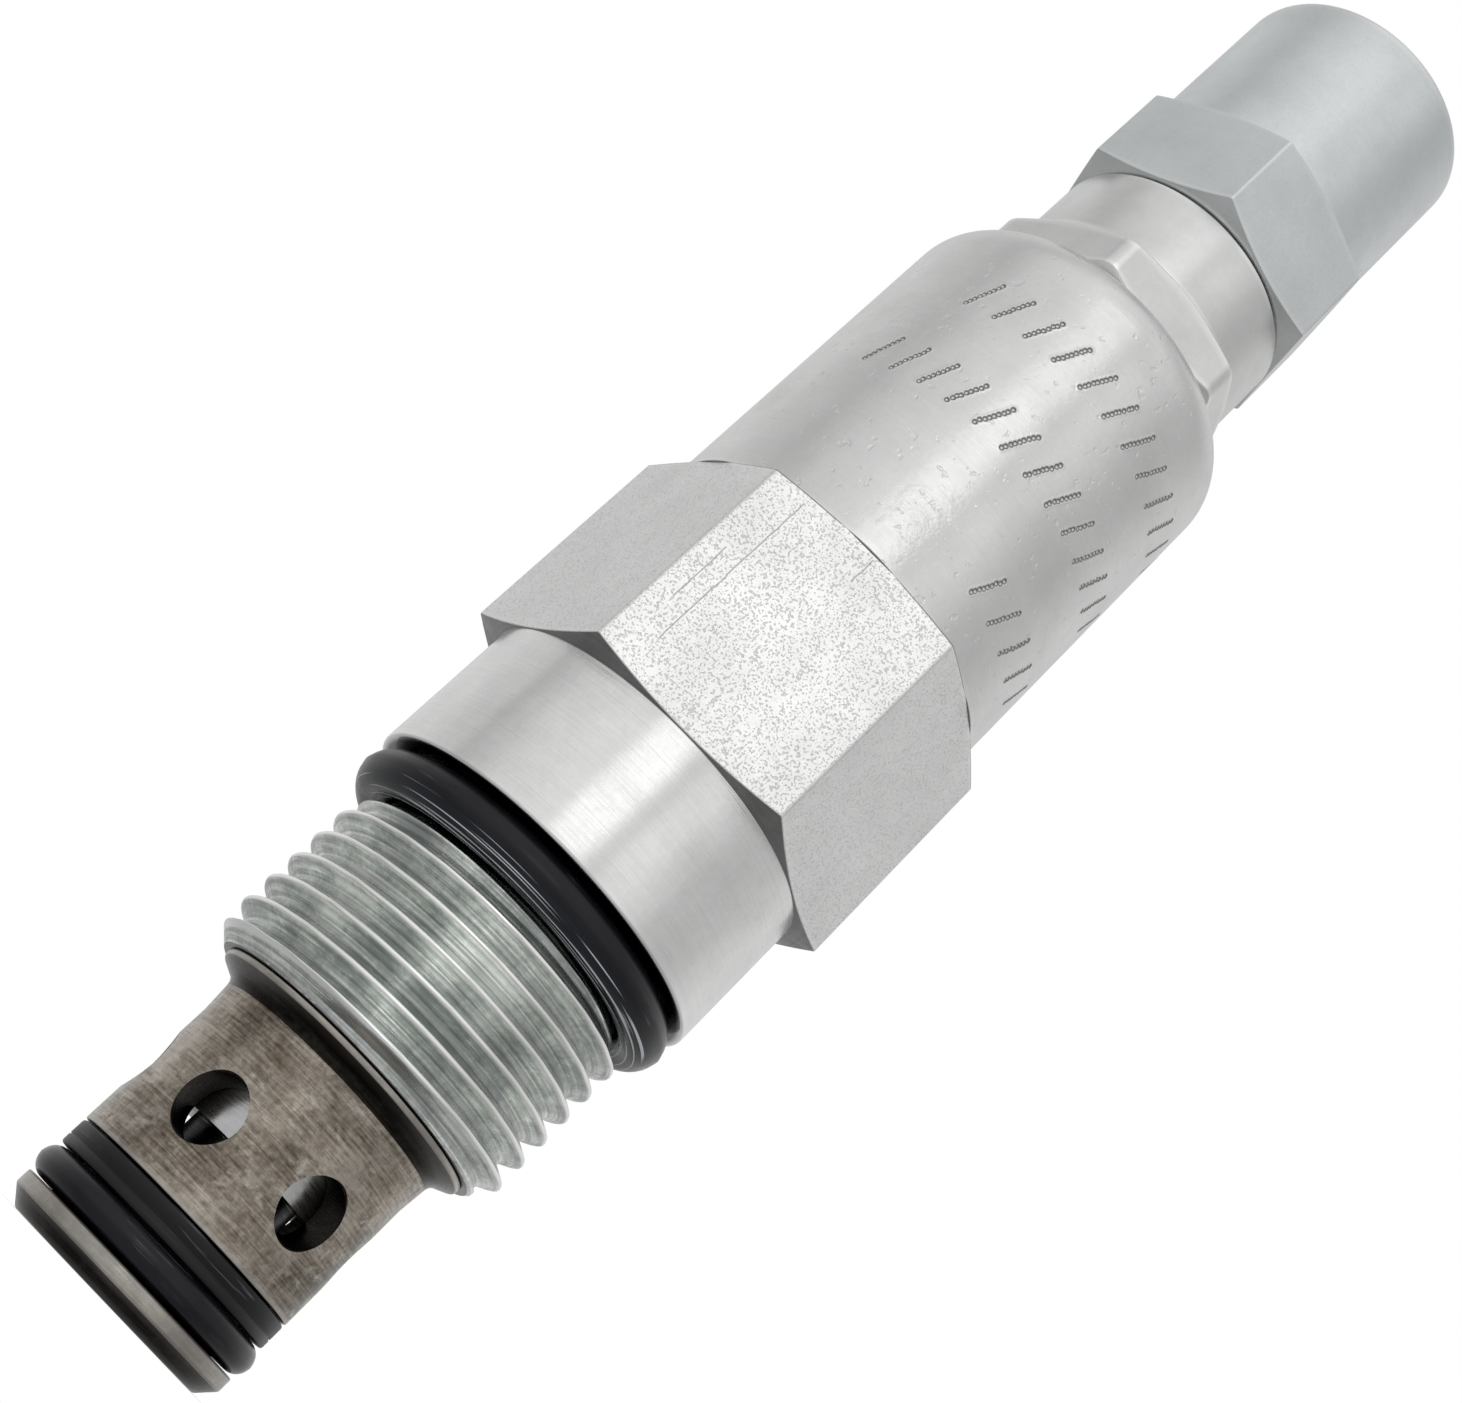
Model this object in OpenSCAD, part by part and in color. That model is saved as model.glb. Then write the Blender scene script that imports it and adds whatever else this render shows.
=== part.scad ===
// Screw-in relief cartridge valve with a closed cap.
// Millimetres. The valve axis is Z, the cap is up and the nose is down.
// The origin is on the axis at the seating face, the underside of the collar.

/* [Port thread and seat] */
// Major diameter of the port thread
thread_d = 22.225; // [21.5:0.025:23]
// Threads per inch of the port thread
thread_tpi = 14; // [12:1:16]
// Diameter of the neck that holds the port O-ring
neck_d = 19; // [18.6:0.1:19.4]
// Length of that neck, below the seating face
neck_len = 3.2; // [3:0.1:3.6]
// Section of the port O-ring
port_ring_section = 2.9; // [2.4:0.1:3]

/* [Nose cage] */
// Diameter of the nose that fits the cavity
nose_d = 15.875; // [15.6:0.025:16.1]
// Length of the nose below the seating face
nose_len = 32.6; // [32:0.1:33.4]
// Diameter of the inlet bore
inlet_d = 9.6; // [9:0.1:10]
// Diameter of the bore that guides the poppet
guide_d = 11.2; // [11:0.1:11.6]
// Diameter of the side ports
port_d = 4.2; // [3.6:0.1:4.6]
// Number of side ports
port_count = 6; // [4:1:8]
// Height of the side ports above the nose end
port_height = 10.4; // [9.8:0.1:11]
// Angle of the first side port from +X
port_turn = 3.5; // [0:0.5:30]

/* [Body] */
// Diameter of the collar above the port
collar_d = 25.15; // [24.8:0.05:25.3]
// Height of the collar
collar_h = 9.7; // [9:0.1:10.4]
// Width across the flats of the body hexagon
hex_af = 25.4; // [25.4:0.1:26]
// Height of the body hexagon
hex_h = 16.2; // [15:0.1:17]
// Turn of the body hexagon about the axis
hex_turn = -3; // [-30:1:30]
// Diameter of the barrel
barrel_d = 25.7; // [25.4:0.1:26]
// Height of the barrel
barrel_h = 27.3; // [27:0.1:28]
// Radius of the barrel's shoulder
barrel_round = 3.3; // [2.5:0.1:3.6]

/* [Bonnet] */
// Width across the flats of the bonnet hexagon
bonnet_af = 19.05; // [18.8:0.05:19.3]
// Diameter that the bonnet's corners are turned down to
bonnet_corner_d = 21.5; // [21.2:0.1:21.8]
// Height of the bonnet hexagon
bonnet_hex_h = 3.8; // [3.4:0.1:4.2]
// Turn of the bonnet hexagon about the axis
bonnet_turn = 11; // [0:1:59]
// Diameter of the bonnet's round part
bonnet_d = 18.9; // [18.6:0.1:19]
// Height of the bonnet's round part
bonnet_h = 6.1; // [5.6:0.1:6.6]

/* [Cap] */
// Width across the flats of the cap
cap_af = 19.05; // [18.8:0.05:19.3]
// Height of the cap's hexagon
cap_hex_h = 8; // [7.4:0.1:8.6]
// Turn of the cap's hexagon about the axis
cap_turn = 24; // [0:1:59]
// Diameter of the cap's round part
cap_d = 18.7; // [18.4:0.1:18.9]
// Height of the cap's round part
cap_h = 14.1; // [13.8:0.1:15]

/* [Adjuster] */
// Major diameter of the adjusting screw
screw_d = 8; // [7.8:0.05:8]
// Pitch of the adjusting screw
screw_pitch = 1.25; // [1:0.25:1.5]
// Width across the flats of the screw's socket
socket_af = 4; // [3:0.5:4]
// Width across the flats of the lock nut
nut_af = 13; // [12:0.5:13]
// Thickness of the lock nut
nut_h = 4.5; // [4:0.1:5]

/* [Spring] */
// Wire diameter of the main spring
wire_d = 2.4; // [2:0.1:2.6]
// Diameter of the spring at the middle of its wire
coil_d = 10.2; // [9.8:0.1:10.4]
// Number of turns, with one closed turn at each end
coil_turns = 7; // [6:1:8]

/* [Hidden] */

// Facets of a true circle
$fn = 96;
// Facets of a thread in one turn
thread_steps = 40;
// Overshoot of a cutting shape past the face that it cuts
cut = 1;
inch = 25.4;

// Colours
zinc = [0.76, 0.76, 0.75];
heat_treated = [0.47, 0.44, 0.41];
ground_steel = [0.66, 0.66, 0.68];
spring_steel = [0.35, 0.36, 0.38];
seal_black = [0.06, 0.06, 0.07];

// Heights along the axis, upward from the seating face
nose_z = -nose_len;
port_z = nose_z + port_height;
cage_flange_z = -15.3;
thread_low_z = -14.9;
collar_z = collar_h;
hex_z = collar_z + hex_h;
barrel_z = hex_z + barrel_h;
bonnet_hex_z = barrel_z + bonnet_hex_h;
bonnet_z = bonnet_hex_z + bonnet_h;
cap_hex_z = bonnet_z + cap_hex_h;
cap_z = cap_hex_z + cap_h;

// Port thread: external profile, the groove cut to 0.6134 of the pitch
thread_pitch = inch / thread_tpi;
thread_minor_d = thread_d - 2 * 0.6134 * thread_pitch;
thread_crest_z = -9.7;
thread_lead = 1.5;
thread_run_out = 0.9;
root_clearance = 0.1;

// Nose: lead-in chamfer, rim, seal groove and flange
nose_chamfer_h = 0.9;
nose_chamfer = 0.5;
rim_len = 1.9;
groove_low_z = nose_z + rim_len;
groove_high_z = nose_z + 5.8;
groove_d = 12.5;
flange_d = 19;
flare_h = 0.45;
cove_h = 2.8;
cove_d = nose_d + 0.5;
spigot_d = 15;
spigot_high_z = -3;
seat_z = nose_z + 6.5;
nose_ring_section = 1.98;
nose_ring_z = groove_low_z + 1.08;
nose_backup_low_z = groove_low_z + 2.15;
nose_backup_h = 1.65;
nose_backup_d = 15.84;

// Gaps between a seal and what it sits on or runs in
ring_stretch = 0.04;
ring_shoulder_gap = 0.2;
ring_end_gap = 0.1;

// Body bores
spigot_gap = 0.02;
chamber_d = 14;
chamber_low_z = -2.8;
bonnet_bore_low_z = barrel_z - 9.2;
bonnet_bore_d = 16.1;
body_hex_slope = tan(15);

// Poppet: the guide, a waist opposite the side ports and the cone below it
seat_gap = 0.05;
guide_gap = 0.04;
poppet_edge_z = port_z - 0.3;
poppet_top_z = -1.3;
cone_land = 0.4;
cone_back = 1.2;
waist_d = 8;
cone_d = 10.4;
cone_tip_d = 7.4;
stem_d = 6.4;
stem_h = 2;
oil_groove_depth = 0.35;
oil_groove_h = 0.6;
oil_groove_first = 8.7;
oil_groove_step = 3.2;
oil_groove_count = 3;
vent_d = 1.5;

// Lower spring seat, spring and plug
seat_disc_d = 13.4;
seat_disc_low_z = poppet_top_z;
seat_disc_z = 2;
pilot_d = 7.2;
pilot_h = 3;
pilot_chamfer = 0.6;
seat_disc_foot_d = 10.4;
seat_disc_foot_h = 1.2;
stem_gap = 0.02;
stem_end_gap = 0.05;
spring_gap = 0.05;
spring_low_z = seat_disc_z + spring_gap;
shim_h = 1;
shim_bore_d = pilot_d + 0.3;
plug_low_z = 29;
spring_high_z = plug_low_z - shim_h - 2 * spring_gap;
closed_gap = 0.1;
wire_sides = 12;
coil_steps = 20;
plug_z = plug_low_z + 11;
plug_gap = 0.05;
plug_groove_low_z = plug_low_z + 4;
plug_groove_h = 3.1;
plug_groove_d = 11.1;
plug_ring_section = 1.38;
plug_ring_rise = 0.8;
plug_backup_h = 1.2;
tip_d = 6;
tip_h = 1.8;
tip_gap = 0.08;

// Screw, retaining ring and lock nut
screw_gap = 0.05;
screw_low_z = plug_z + spring_gap - tip_h;
shank_low_d = screw_d - 0.8;
screw_step = 0.5;
screw_crest_rise = 0.43;
screw_lead = 0.4;
screw_top_z = 77.5;
screw_minor_d = screw_d - 1.22 * screw_pitch;
socket_depth = 4;
retainer_h = 0.9;
retainer_d = 11.2;
retainer_groove_d = 6.4;
retainer_gap = 0.05;
retainer_slot = 2.5;
spigot_top_z = bonnet_z + 6.5;
washer_h = 1.2;
washer_d = 14.2;
washer_lip_d = 9.4;
washer_lip_gap = 0.1;
nut_low_z = spigot_top_z + washer_h;
nut_face_d = nut_af - 0.6;
nut_slope = tan(30);

// Bonnet and cap
bonnet_spigot_d = 16;
bonnet_spigot_low_z = bonnet_bore_low_z + 0.1;
bonnet_groove_low_z = barrel_z - 4.6;
bonnet_groove_h = 2;
bonnet_groove_d = 13.2;
bonnet_ring_section = 1.38;
bonnet_face_d = bonnet_af + 0.15;
bonnet_hex_slope = tan(25);
bonnet_chamfer = 0.3;
retainer_low_z = bonnet_spigot_low_z - 2.5;
cap_thread_d = 15;
cap_thread_pitch = 1;
cap_thread_minor_d = cap_thread_d - 1.22 * cap_thread_pitch;
cap_thread_crest_z = bonnet_z + 2;
cap_thread_foot = 0.57;
cap_thread_lead = 1.3;
cap_bore_d = 15.3;
cap_hollow_d = 16;
cap_wall = 2.3;
cap_gap = 0.05;
cap_face_d = cap_af - 0.3;
cap_slope = tan(20);
cap_hollow_low_z = spigot_top_z + 0.3;
cap_recess_d = 17.2;
cap_recess_h = 1.4;
cap_ring_section = 0.9;
cap_ring_gap = 0.1;
edge_round = 0.5;

// Circumradius factor of a hexagon from its width across flats
function hex_d(af) = af / cos(30);

// Solid of revolution about Z from an outline of [radius, height] points
module turned(outline) {
    rotate_extrude()
        polygon(outline);
}

// Cylinder between two heights
module rod(d, low, high) {
    translate([0, 0, low])
        cylinder(d = d, h = high - low);
}

// Ring between two heights
module ring(outer_d, inner_d, low, high) {
    difference() {
        rod(outer_d, low, high);
        rod(inner_d, low - cut, high + cut);
    }
}

// O-ring of round section, given the diameter that it sits on
module o_ring(inner_d, section, z) {
    translate([0, 0, z])
        rotate_extrude()
            translate([(inner_d + section) / 2, 0])
                circle(d = section);
}

// Hexagonal prism whose corners are turned to a cone at either end
module chamfered_hex(af, face_d, low, high, slope, turn) {
    reach = hex_d(af) / 2 + cut;
    rise = (reach - face_d / 2) * slope;
    intersection() {
        rotate([0, 0, turn])
            translate([0, 0, low])
                cylinder(d = hex_d(af), h = high - low, $fn = 6);
        turned([[0, low], [face_d / 2, low], [reach, low + rise],
            [reach, high - rise], [face_d / 2, high], [0, high]]);
    }
}

// Rod with a right-hand helical thread. Its ends are ragged, for trimming.
module ragged_thread(major_d, minor_d, pitch, crest_z, low, high) {
    // one pitch of the profile, as [height in pitches, radius]
    profile = [[-0.5, minor_d / 2], [-0.25, minor_d / 2], [-0.06, major_d / 2], [0.06, major_d / 2]];
    start_z = crest_z - pitch * (ceil((crest_z - low) / pitch) + 1);
    corners = len(profile);
    rows = corners * (ceil((high - start_z) / pitch) + 2);
    all_rows = rows + corners;
    function angle(step) = 360 * step / thread_steps;
    function height(row, step) = start_z
        + pitch * (floor(row / corners) + profile[row % corners][0] + step / thread_steps);
    function index(row, step) = step < thread_steps
        ? row * thread_steps + step
        : (row + corners) * thread_steps;
    points = [for (row = [0:all_rows]) for (step = [0:thread_steps - 1])
        let (r = profile[row % corners][1])
            [r * cos(angle(step)), r * sin(angle(step)), height(row, step)]];
    low_centre = len(points);
    high_centre = low_centre + 1;
    flanks = [for (row = [0:rows - 1]) for (step = [0:thread_steps - 1])
        for (half = [0, 1])
            half == 0
                ? [index(row, step), index(row + 1, step), index(row + 1, step + 1)]
                : [index(row, step), index(row + 1, step + 1), index(row, step + 1)]];
    low_fan = [for (step = [0:thread_steps - 1])
        [low_centre, index(0, step), index(0, step + 1)]];
    high_fan = [for (step = [0:thread_steps - 1])
        [high_centre, index(rows, step + 1), index(rows, step)]];
    low_step = [for (row = [0:corners - 1])
        [low_centre, index(row + 1, 0), index(row, 0)]];
    high_step = [for (row = [rows:rows + corners - 1])
        [high_centre, index(row, 0), index(row + 1, 0)]];
    polyhedron(
        points = concat(points, [[0, 0, start_z - 2 * pitch], [0, 0, height(rows, 0) + 3 * pitch]]),
        faces = concat(flanks, low_fan, high_fan, low_step, high_step),
        convexity = 10);
}

// The same rod trimmed to length, with a turned lead at each end, as one mesh
module threaded_rod(major_d, minor_d, pitch, crest_z, low, high, low_lead, high_lead) {
    root_d = minor_d - root_clearance;
    depth = (major_d + cut - root_d) / 2;
    resize([0, 0, 0])
        intersection() {
            ragged_thread(major_d, minor_d, pitch, crest_z, low, high);
            rotate([0, 0, 120 / thread_steps])
                rotate_extrude($fn = thread_steps)
                    polygon([[0, low], [root_d / 2, low], [root_d / 2 + depth, low + low_lead],
                        [root_d / 2 + depth, high - high_lead], [root_d / 2, high], [0, high]]);
        }
}

// Threaded body: port thread, neck, collar, hexagon and barrel, bored through
module body() {
    color(zinc)
        difference() {
            union() {
                threaded_rod(thread_d, thread_minor_d, thread_pitch, thread_crest_z,
                    thread_low_z, -neck_len, thread_lead, thread_run_out);
                rod(neck_d, -neck_len - cut, 0);
                rod(collar_d, 0, collar_z + cut);
                chamfered_hex(hex_af, collar_d, collar_z, hex_z, body_hex_slope, hex_turn);
                barrel();
            }
            rod(spigot_d + 2 * spigot_gap, thread_low_z - cut, chamber_low_z);
            rod(chamber_d, chamber_low_z - cut, barrel_z);
            rod(bonnet_bore_d, bonnet_bore_low_z, barrel_z + cut);
        }
}

// Barrel above the hexagon, with a rounded shoulder
module barrel() {
    flat_r = barrel_d / 2 - barrel_round;
    translate([0, 0, hex_z])
        rotate_extrude()
            union() {
                square([flat_r, barrel_h]);
                square([barrel_d / 2, barrel_h - barrel_round]);
                translate([flat_r, barrel_h - barrel_round])
                    intersection() {
                        circle(r = barrel_round);
                        square(barrel_round);
                    }
            }
}

// Nose cage: inlet, poppet seat, side ports, seal groove and flange
module cage() {
    nose_r = nose_d / 2;
    color(heat_treated)
        difference() {
            turned([[0, nose_z], [nose_r - nose_chamfer, nose_z], [nose_r, nose_z + nose_chamfer_h],
                [nose_r, groove_low_z], [groove_d / 2, groove_low_z], [groove_d / 2, groove_high_z],
                [nose_r, groove_high_z], [nose_r, cage_flange_z - flare_h - cove_h],
                [cove_d / 2, cage_flange_z - flare_h], [flange_d / 2, cage_flange_z],
                [flange_d / 2, thread_low_z],
                [spigot_d / 2, thread_low_z], [spigot_d / 2, spigot_high_z], [0, spigot_high_z]]);
            rod(inlet_d, nose_z - cut, seat_z + cut);
            rod(guide_d, seat_z, spigot_high_z + cut);
            for (i = [0:port_count - 1])
                rotate([0, 0, port_turn + i * 360 / port_count])
                    translate([0, 0, port_z])
                        rotate([0, 90, 0])
                            cylinder(d = port_d, h = nose_d);
        }
}

module nose_o_ring() {
    color(seal_black)
        o_ring(groove_d + ring_stretch / 2, nose_ring_section, nose_ring_z);
}

module nose_backup_ring() {
    color(seal_black)
        ring(nose_backup_d, groove_d + ring_stretch, nose_backup_low_z, nose_backup_low_z + nose_backup_h);
}

module port_o_ring() {
    color(seal_black)
        o_ring(neck_d + ring_stretch, port_ring_section, -port_ring_section / 2 - ring_shoulder_gap);
}

// Poppet: cone, waist, guide with oil grooves, and a stem for the spring seat
module poppet() {
    seat_r = inlet_d / 2;
    cone_z = seat_z + seat_gap;
    tip_z = cone_z - (seat_r - cone_tip_d / 2);
    rim_z = cone_z + (cone_d / 2 - seat_r);
    guide_r = guide_d / 2 - guide_gap;
    groove_z = [for (i = [0:oil_groove_count - 1]) poppet_edge_z + oil_groove_first + oil_groove_step * i];
    color(ground_steel)
        difference() {
            turned([[0, tip_z], [cone_tip_d / 2, tip_z], [cone_d / 2, rim_z],
                [cone_d / 2, rim_z + cone_land], [waist_d / 2, rim_z + cone_back],
                [waist_d / 2, poppet_edge_z], [guide_r, poppet_edge_z],
                [guide_r, poppet_top_z], [stem_d / 2, poppet_top_z],
                [stem_d / 2, poppet_top_z + stem_h], [0, poppet_top_z + stem_h]]);
            for (z = groove_z)
                ring(guide_d + cut, guide_d - 2 * oil_groove_depth, z, z + oil_groove_h);
            rod(vent_d, tip_z - cut, poppet_top_z + stem_h + cut);
        }
}

// Disc that carries the foot of the spring, on the poppet's stem
module lower_spring_seat() {
    color(ground_steel)
        difference() {
            turned([[0, seat_disc_low_z], [seat_disc_foot_d / 2, seat_disc_low_z],
                [seat_disc_d / 2, seat_disc_low_z + seat_disc_foot_h], [seat_disc_d / 2, seat_disc_z],
                [pilot_d / 2, seat_disc_z], [pilot_d / 2, seat_disc_z + pilot_h - pilot_chamfer],
                [pilot_d / 2 - pilot_chamfer, seat_disc_z + pilot_h], [0, seat_disc_z + pilot_h]]);
            rod(stem_d + 2 * stem_gap, seat_disc_low_z - cut, seat_disc_low_z + stem_h + stem_end_gap);
            rod(vent_d, seat_disc_low_z, seat_disc_z + pilot_h + cut);
        }
}

// Compression spring: one closed turn at each end, open turns between them
module main_spring() {
    closed_pitch = wire_d + closed_gap;
    travel = spring_high_z - spring_low_z - wire_d;
    open_pitch = (travel - 2 * closed_pitch) / (coil_turns - 2);
    rings = coil_turns * coil_steps;
    function lift(turn) = turn < 1
        ? turn * closed_pitch
        : turn < coil_turns - 1
            ? closed_pitch + (turn - 1) * open_pitch
            : travel - (coil_turns - turn) * closed_pitch;
    points = [for (i = [0:rings]) for (j = [0:wire_sides - 1])
        let (
            turn = i / coil_steps,
            side = 360 * j / wire_sides,
            r = coil_d / 2 + wire_d / 2 * cos(side),
            z = spring_low_z + wire_d / 2 + lift(turn) + wire_d / 2 * sin(side)
        ) [r * cos(360 * turn), r * sin(360 * turn), z]];
    skin = [for (i = [0:rings - 1]) for (j = [0:wire_sides - 1])
        let (
            here = i * wire_sides,
            next = here + wire_sides,
            k = (j + 1) % wire_sides
        ) [here + j, here + k, next + k, next + j]];
    foot = [for (j = [wire_sides - 1:-1:0]) j];
    head = [for (j = [0:wire_sides - 1]) rings * wire_sides + j];
    color(spring_steel)
        polyhedron(points = points, faces = concat(skin, [foot, head]), convexity = 10);
}

module spring_shim() {
    color(ground_steel)
        ring(coil_d + wire_d, shim_bore_d, plug_low_z - shim_h - spring_gap, plug_low_z - spring_gap);
}

// Sliding plug that the screw presses onto the spring
module spring_plug() {
    plug_d = chamber_d - 2 * plug_gap;
    pilot_low_z = plug_low_z - pilot_h - shim_h;
    color(ground_steel)
        difference() {
            union() {
                rod(plug_d, plug_low_z, plug_z);
                turned([[0, pilot_low_z], [pilot_d / 2 - pilot_chamfer, pilot_low_z],
                    [pilot_d / 2, pilot_low_z + pilot_chamfer], [pilot_d / 2, plug_low_z],
                    [0, plug_low_z]]);
            }
            ring(plug_d + cut, plug_groove_d, plug_groove_low_z, plug_groove_low_z + plug_groove_h);
            rod(tip_d + 2 * tip_gap, plug_z - tip_h, plug_z + cut);
        }
}

module plug_o_ring() {
    color(seal_black)
        o_ring(plug_groove_d + ring_stretch, plug_ring_section, plug_groove_low_z + plug_ring_rise);
}

module plug_backup_ring() {
    low = plug_groove_low_z + plug_groove_h - plug_backup_h - ring_end_gap;
    color(seal_black)
        ring(chamber_d - 2 * ring_stretch, plug_groove_d + ring_stretch, low, low + plug_backup_h);
}

// Adjusting screw: plain tip, plain shank in the bonnet, threaded end with a socket
module adjusting_screw() {
    shank_high_z = spigot_top_z - 1;
    color(zinc)
        difference() {
            union() {
                rod(tip_d, screw_low_z, screw_low_z + tip_h + screw_step);
                rod(shank_low_d, screw_low_z + tip_h + screw_step, bonnet_spigot_low_z);
                rod(screw_d, bonnet_spigot_low_z, shank_high_z);
                threaded_rod(screw_d, screw_minor_d, screw_pitch, shank_high_z + screw_crest_rise,
                    shank_high_z, screw_top_z, screw_lead, thread_run_out);
            }
            ring(screw_d, retainer_groove_d, retainer_low_z, retainer_low_z + retainer_h + 2 * retainer_gap);
            translate([0, 0, screw_top_z - socket_depth])
                cylinder(d = hex_d(socket_af), h = socket_depth + cut, $fn = 6);
        }
}

// Open ring in the screw's groove. It stops the screw from being backed out.
module retaining_ring() {
    low = retainer_low_z + retainer_gap;
    color(spring_steel)
        difference() {
            ring(retainer_d, retainer_groove_d + retainer_gap, low, low + retainer_h);
            translate([0, -retainer_slot / 2, low - cut])
                cube([retainer_d, retainer_slot, retainer_h + 2 * cut]);
        }
}

// Bonnet: spigot in the barrel, turned hexagon, round part and the cap's thread
module bonnet() {
    color(zinc)
        difference() {
            union() {
                rod(bonnet_spigot_d, bonnet_spigot_low_z, barrel_z + cut);
                bonnet_hex();
                turned([[0, barrel_z + cut], [bonnet_d / 2, barrel_z + cut],
                    [bonnet_d / 2, bonnet_z - bonnet_chamfer], [bonnet_d / 2 - bonnet_chamfer, bonnet_z],
                    [0, bonnet_z]]);
                threaded_rod(cap_thread_d, cap_thread_minor_d, cap_thread_pitch, cap_thread_crest_z,
                    bonnet_z - cap_thread_foot, spigot_top_z, cap_thread_lead, thread_run_out);
            }
            rod(screw_d + 2 * screw_gap, bonnet_spigot_low_z - cut, spigot_top_z + cut);
            ring(bonnet_spigot_d + cut, bonnet_groove_d, bonnet_groove_low_z,
                bonnet_groove_low_z + bonnet_groove_h);
        }
}

// The bonnet's hexagon, with its corners turned down to a cylinder
module bonnet_hex() {
    intersection() {
        chamfered_hex(bonnet_af, bonnet_face_d, barrel_z, bonnet_hex_z, bonnet_hex_slope, bonnet_turn);
        rod(bonnet_corner_d, barrel_z - cut, bonnet_hex_z + cut);
    }
}

module bonnet_o_ring() {
    color(seal_black)
        o_ring(bonnet_groove_d + ring_stretch, bonnet_ring_section,
            bonnet_groove_low_z + bonnet_groove_h / 2);
}

// Bonded washer under the lock nut: steel ring outside, rubber lip inside
module lock_washer() {
    color(zinc)
        ring(washer_d, washer_lip_d, spigot_top_z, spigot_top_z + washer_h);
}

module lock_washer_seal() {
    color(seal_black)
        ring(washer_lip_d, screw_d + 2 * washer_lip_gap, spigot_top_z + washer_lip_gap,
            spigot_top_z + washer_h - washer_lip_gap);
}

module lock_nut() {
    color(zinc)
        difference() {
            chamfered_hex(nut_af, nut_face_d, nut_low_z, nut_low_z + nut_h, nut_slope, cap_turn);
            rod(screw_d + 2 * screw_gap, nut_low_z - cut, nut_low_z + nut_h + cut);
        }
}

module cap_seal() {
    color(seal_black)
        o_ring(cap_thread_d + 2 * cap_ring_gap, cap_ring_section,
            bonnet_z + cap_ring_gap + cap_ring_section / 2);
}

// Closed cap: hexagon below, round part above, hollow inside
module cap() {
    color(zinc)
        difference() {
            union() {
                chamfered_hex(cap_af, cap_face_d, bonnet_z + cap_gap, cap_hex_z, cap_slope, cap_turn);
                cap_round();
            }
            rod(cap_recess_d, bonnet_z - cut, bonnet_z + cap_recess_h);
            rod(cap_bore_d, bonnet_z - cut, cap_hex_z);
            rod(cap_hollow_d, cap_hollow_low_z, cap_z - cap_wall);
        }
}

// Round part of the cap, with a small radius on its top edge
module cap_round() {
    flat_r = cap_d / 2 - edge_round;
    height = cap_z - cap_hex_z + cut;
    translate([0, 0, cap_hex_z - cut])
        rotate_extrude()
            union() {
                square([flat_r, height]);
                square([cap_d / 2, height - edge_round]);
                translate([flat_r, height - edge_round])
                    intersection() {
                        circle(r = edge_round);
                        square(edge_round);
                    }
            }
}

body();
cage();
nose_o_ring();
nose_backup_ring();
port_o_ring();
poppet();
lower_spring_seat();
main_spring();
spring_shim();
spring_plug();
plug_o_ring();
plug_backup_ring();
adjusting_screw();
retaining_ring();
bonnet();
bonnet_o_ring();
lock_washer();
lock_washer_seal();
lock_nut();
cap_seal();
cap();
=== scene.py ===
"""Looks of a screw-in relief cartridge valve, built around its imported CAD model.

Lengths in the shape code are in millimetres and become metres when a mesh is made.
Z runs along the valve's axis from the nose (low) to the cap (high).
"""
import math

import bmesh
import bpy
import numpy as np
from mathutils import Matrix, Vector
from mathutils.kdtree import KDTree


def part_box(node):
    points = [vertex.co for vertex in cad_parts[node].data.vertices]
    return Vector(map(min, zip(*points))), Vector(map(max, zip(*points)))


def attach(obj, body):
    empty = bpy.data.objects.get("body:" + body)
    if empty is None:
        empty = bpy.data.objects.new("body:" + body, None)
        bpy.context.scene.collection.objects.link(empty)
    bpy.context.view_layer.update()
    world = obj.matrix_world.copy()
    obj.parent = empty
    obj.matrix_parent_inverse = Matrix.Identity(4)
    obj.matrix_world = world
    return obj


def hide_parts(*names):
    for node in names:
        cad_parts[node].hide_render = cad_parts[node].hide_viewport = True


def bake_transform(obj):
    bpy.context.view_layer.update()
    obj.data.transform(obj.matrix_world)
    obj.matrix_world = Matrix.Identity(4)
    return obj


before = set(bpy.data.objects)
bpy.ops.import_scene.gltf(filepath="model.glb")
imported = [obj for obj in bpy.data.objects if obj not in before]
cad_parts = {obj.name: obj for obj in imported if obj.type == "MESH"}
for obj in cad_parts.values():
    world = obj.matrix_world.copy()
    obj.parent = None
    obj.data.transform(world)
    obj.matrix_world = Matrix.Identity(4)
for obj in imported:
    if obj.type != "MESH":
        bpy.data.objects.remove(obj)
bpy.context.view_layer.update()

MM = 0.001
FULL = 2 * math.pi

# ---------------------------------------------------------------- sizes, in mm and degrees


def span(node):
    """Heights of a CAD node's lowest and highest points."""
    low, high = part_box(node)
    return round(low.z / MM, 3), round(high.z / MM, 3)


# heights along the axis: the ends of the CAD nodes, and the steps between them
NOSE_Z, CAGE_TOP_Z = span("cage")
BACKUP_LOW_Z, BACKUP_TOP_Z = span("nose_backup_ring")
THREAD_LOW_Z, BARREL_Z = span("body")
BONNET_LOW_Z, SPIGOT_Z = span("bonnet")
CAP_LOW_Z, CAP_Z = span("cap")
NECK_LOW_Z = -3.2
COLLAR_Z = 9.7
HEX_Z = 25.9
SHOULDER_Z = 49.9
BONNET_HEX_Z = 57.0
BONNET_Z = 63.1
CAP_HEX_Z = 71.1

# radii of the turned stretches
NOSE_R = 7.9375
CAGE_FIT_R = 7.52
NECK_R = 9.5
COLLAR_R = 12.575
BARREL_R = 12.85
SPRING_BORE_R = 7.0
BONNET_FIT_R = 8.05
BONNET_R = 9.45
SCREW_BORE_R = 4.05
CAP_R = 9.35

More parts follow.
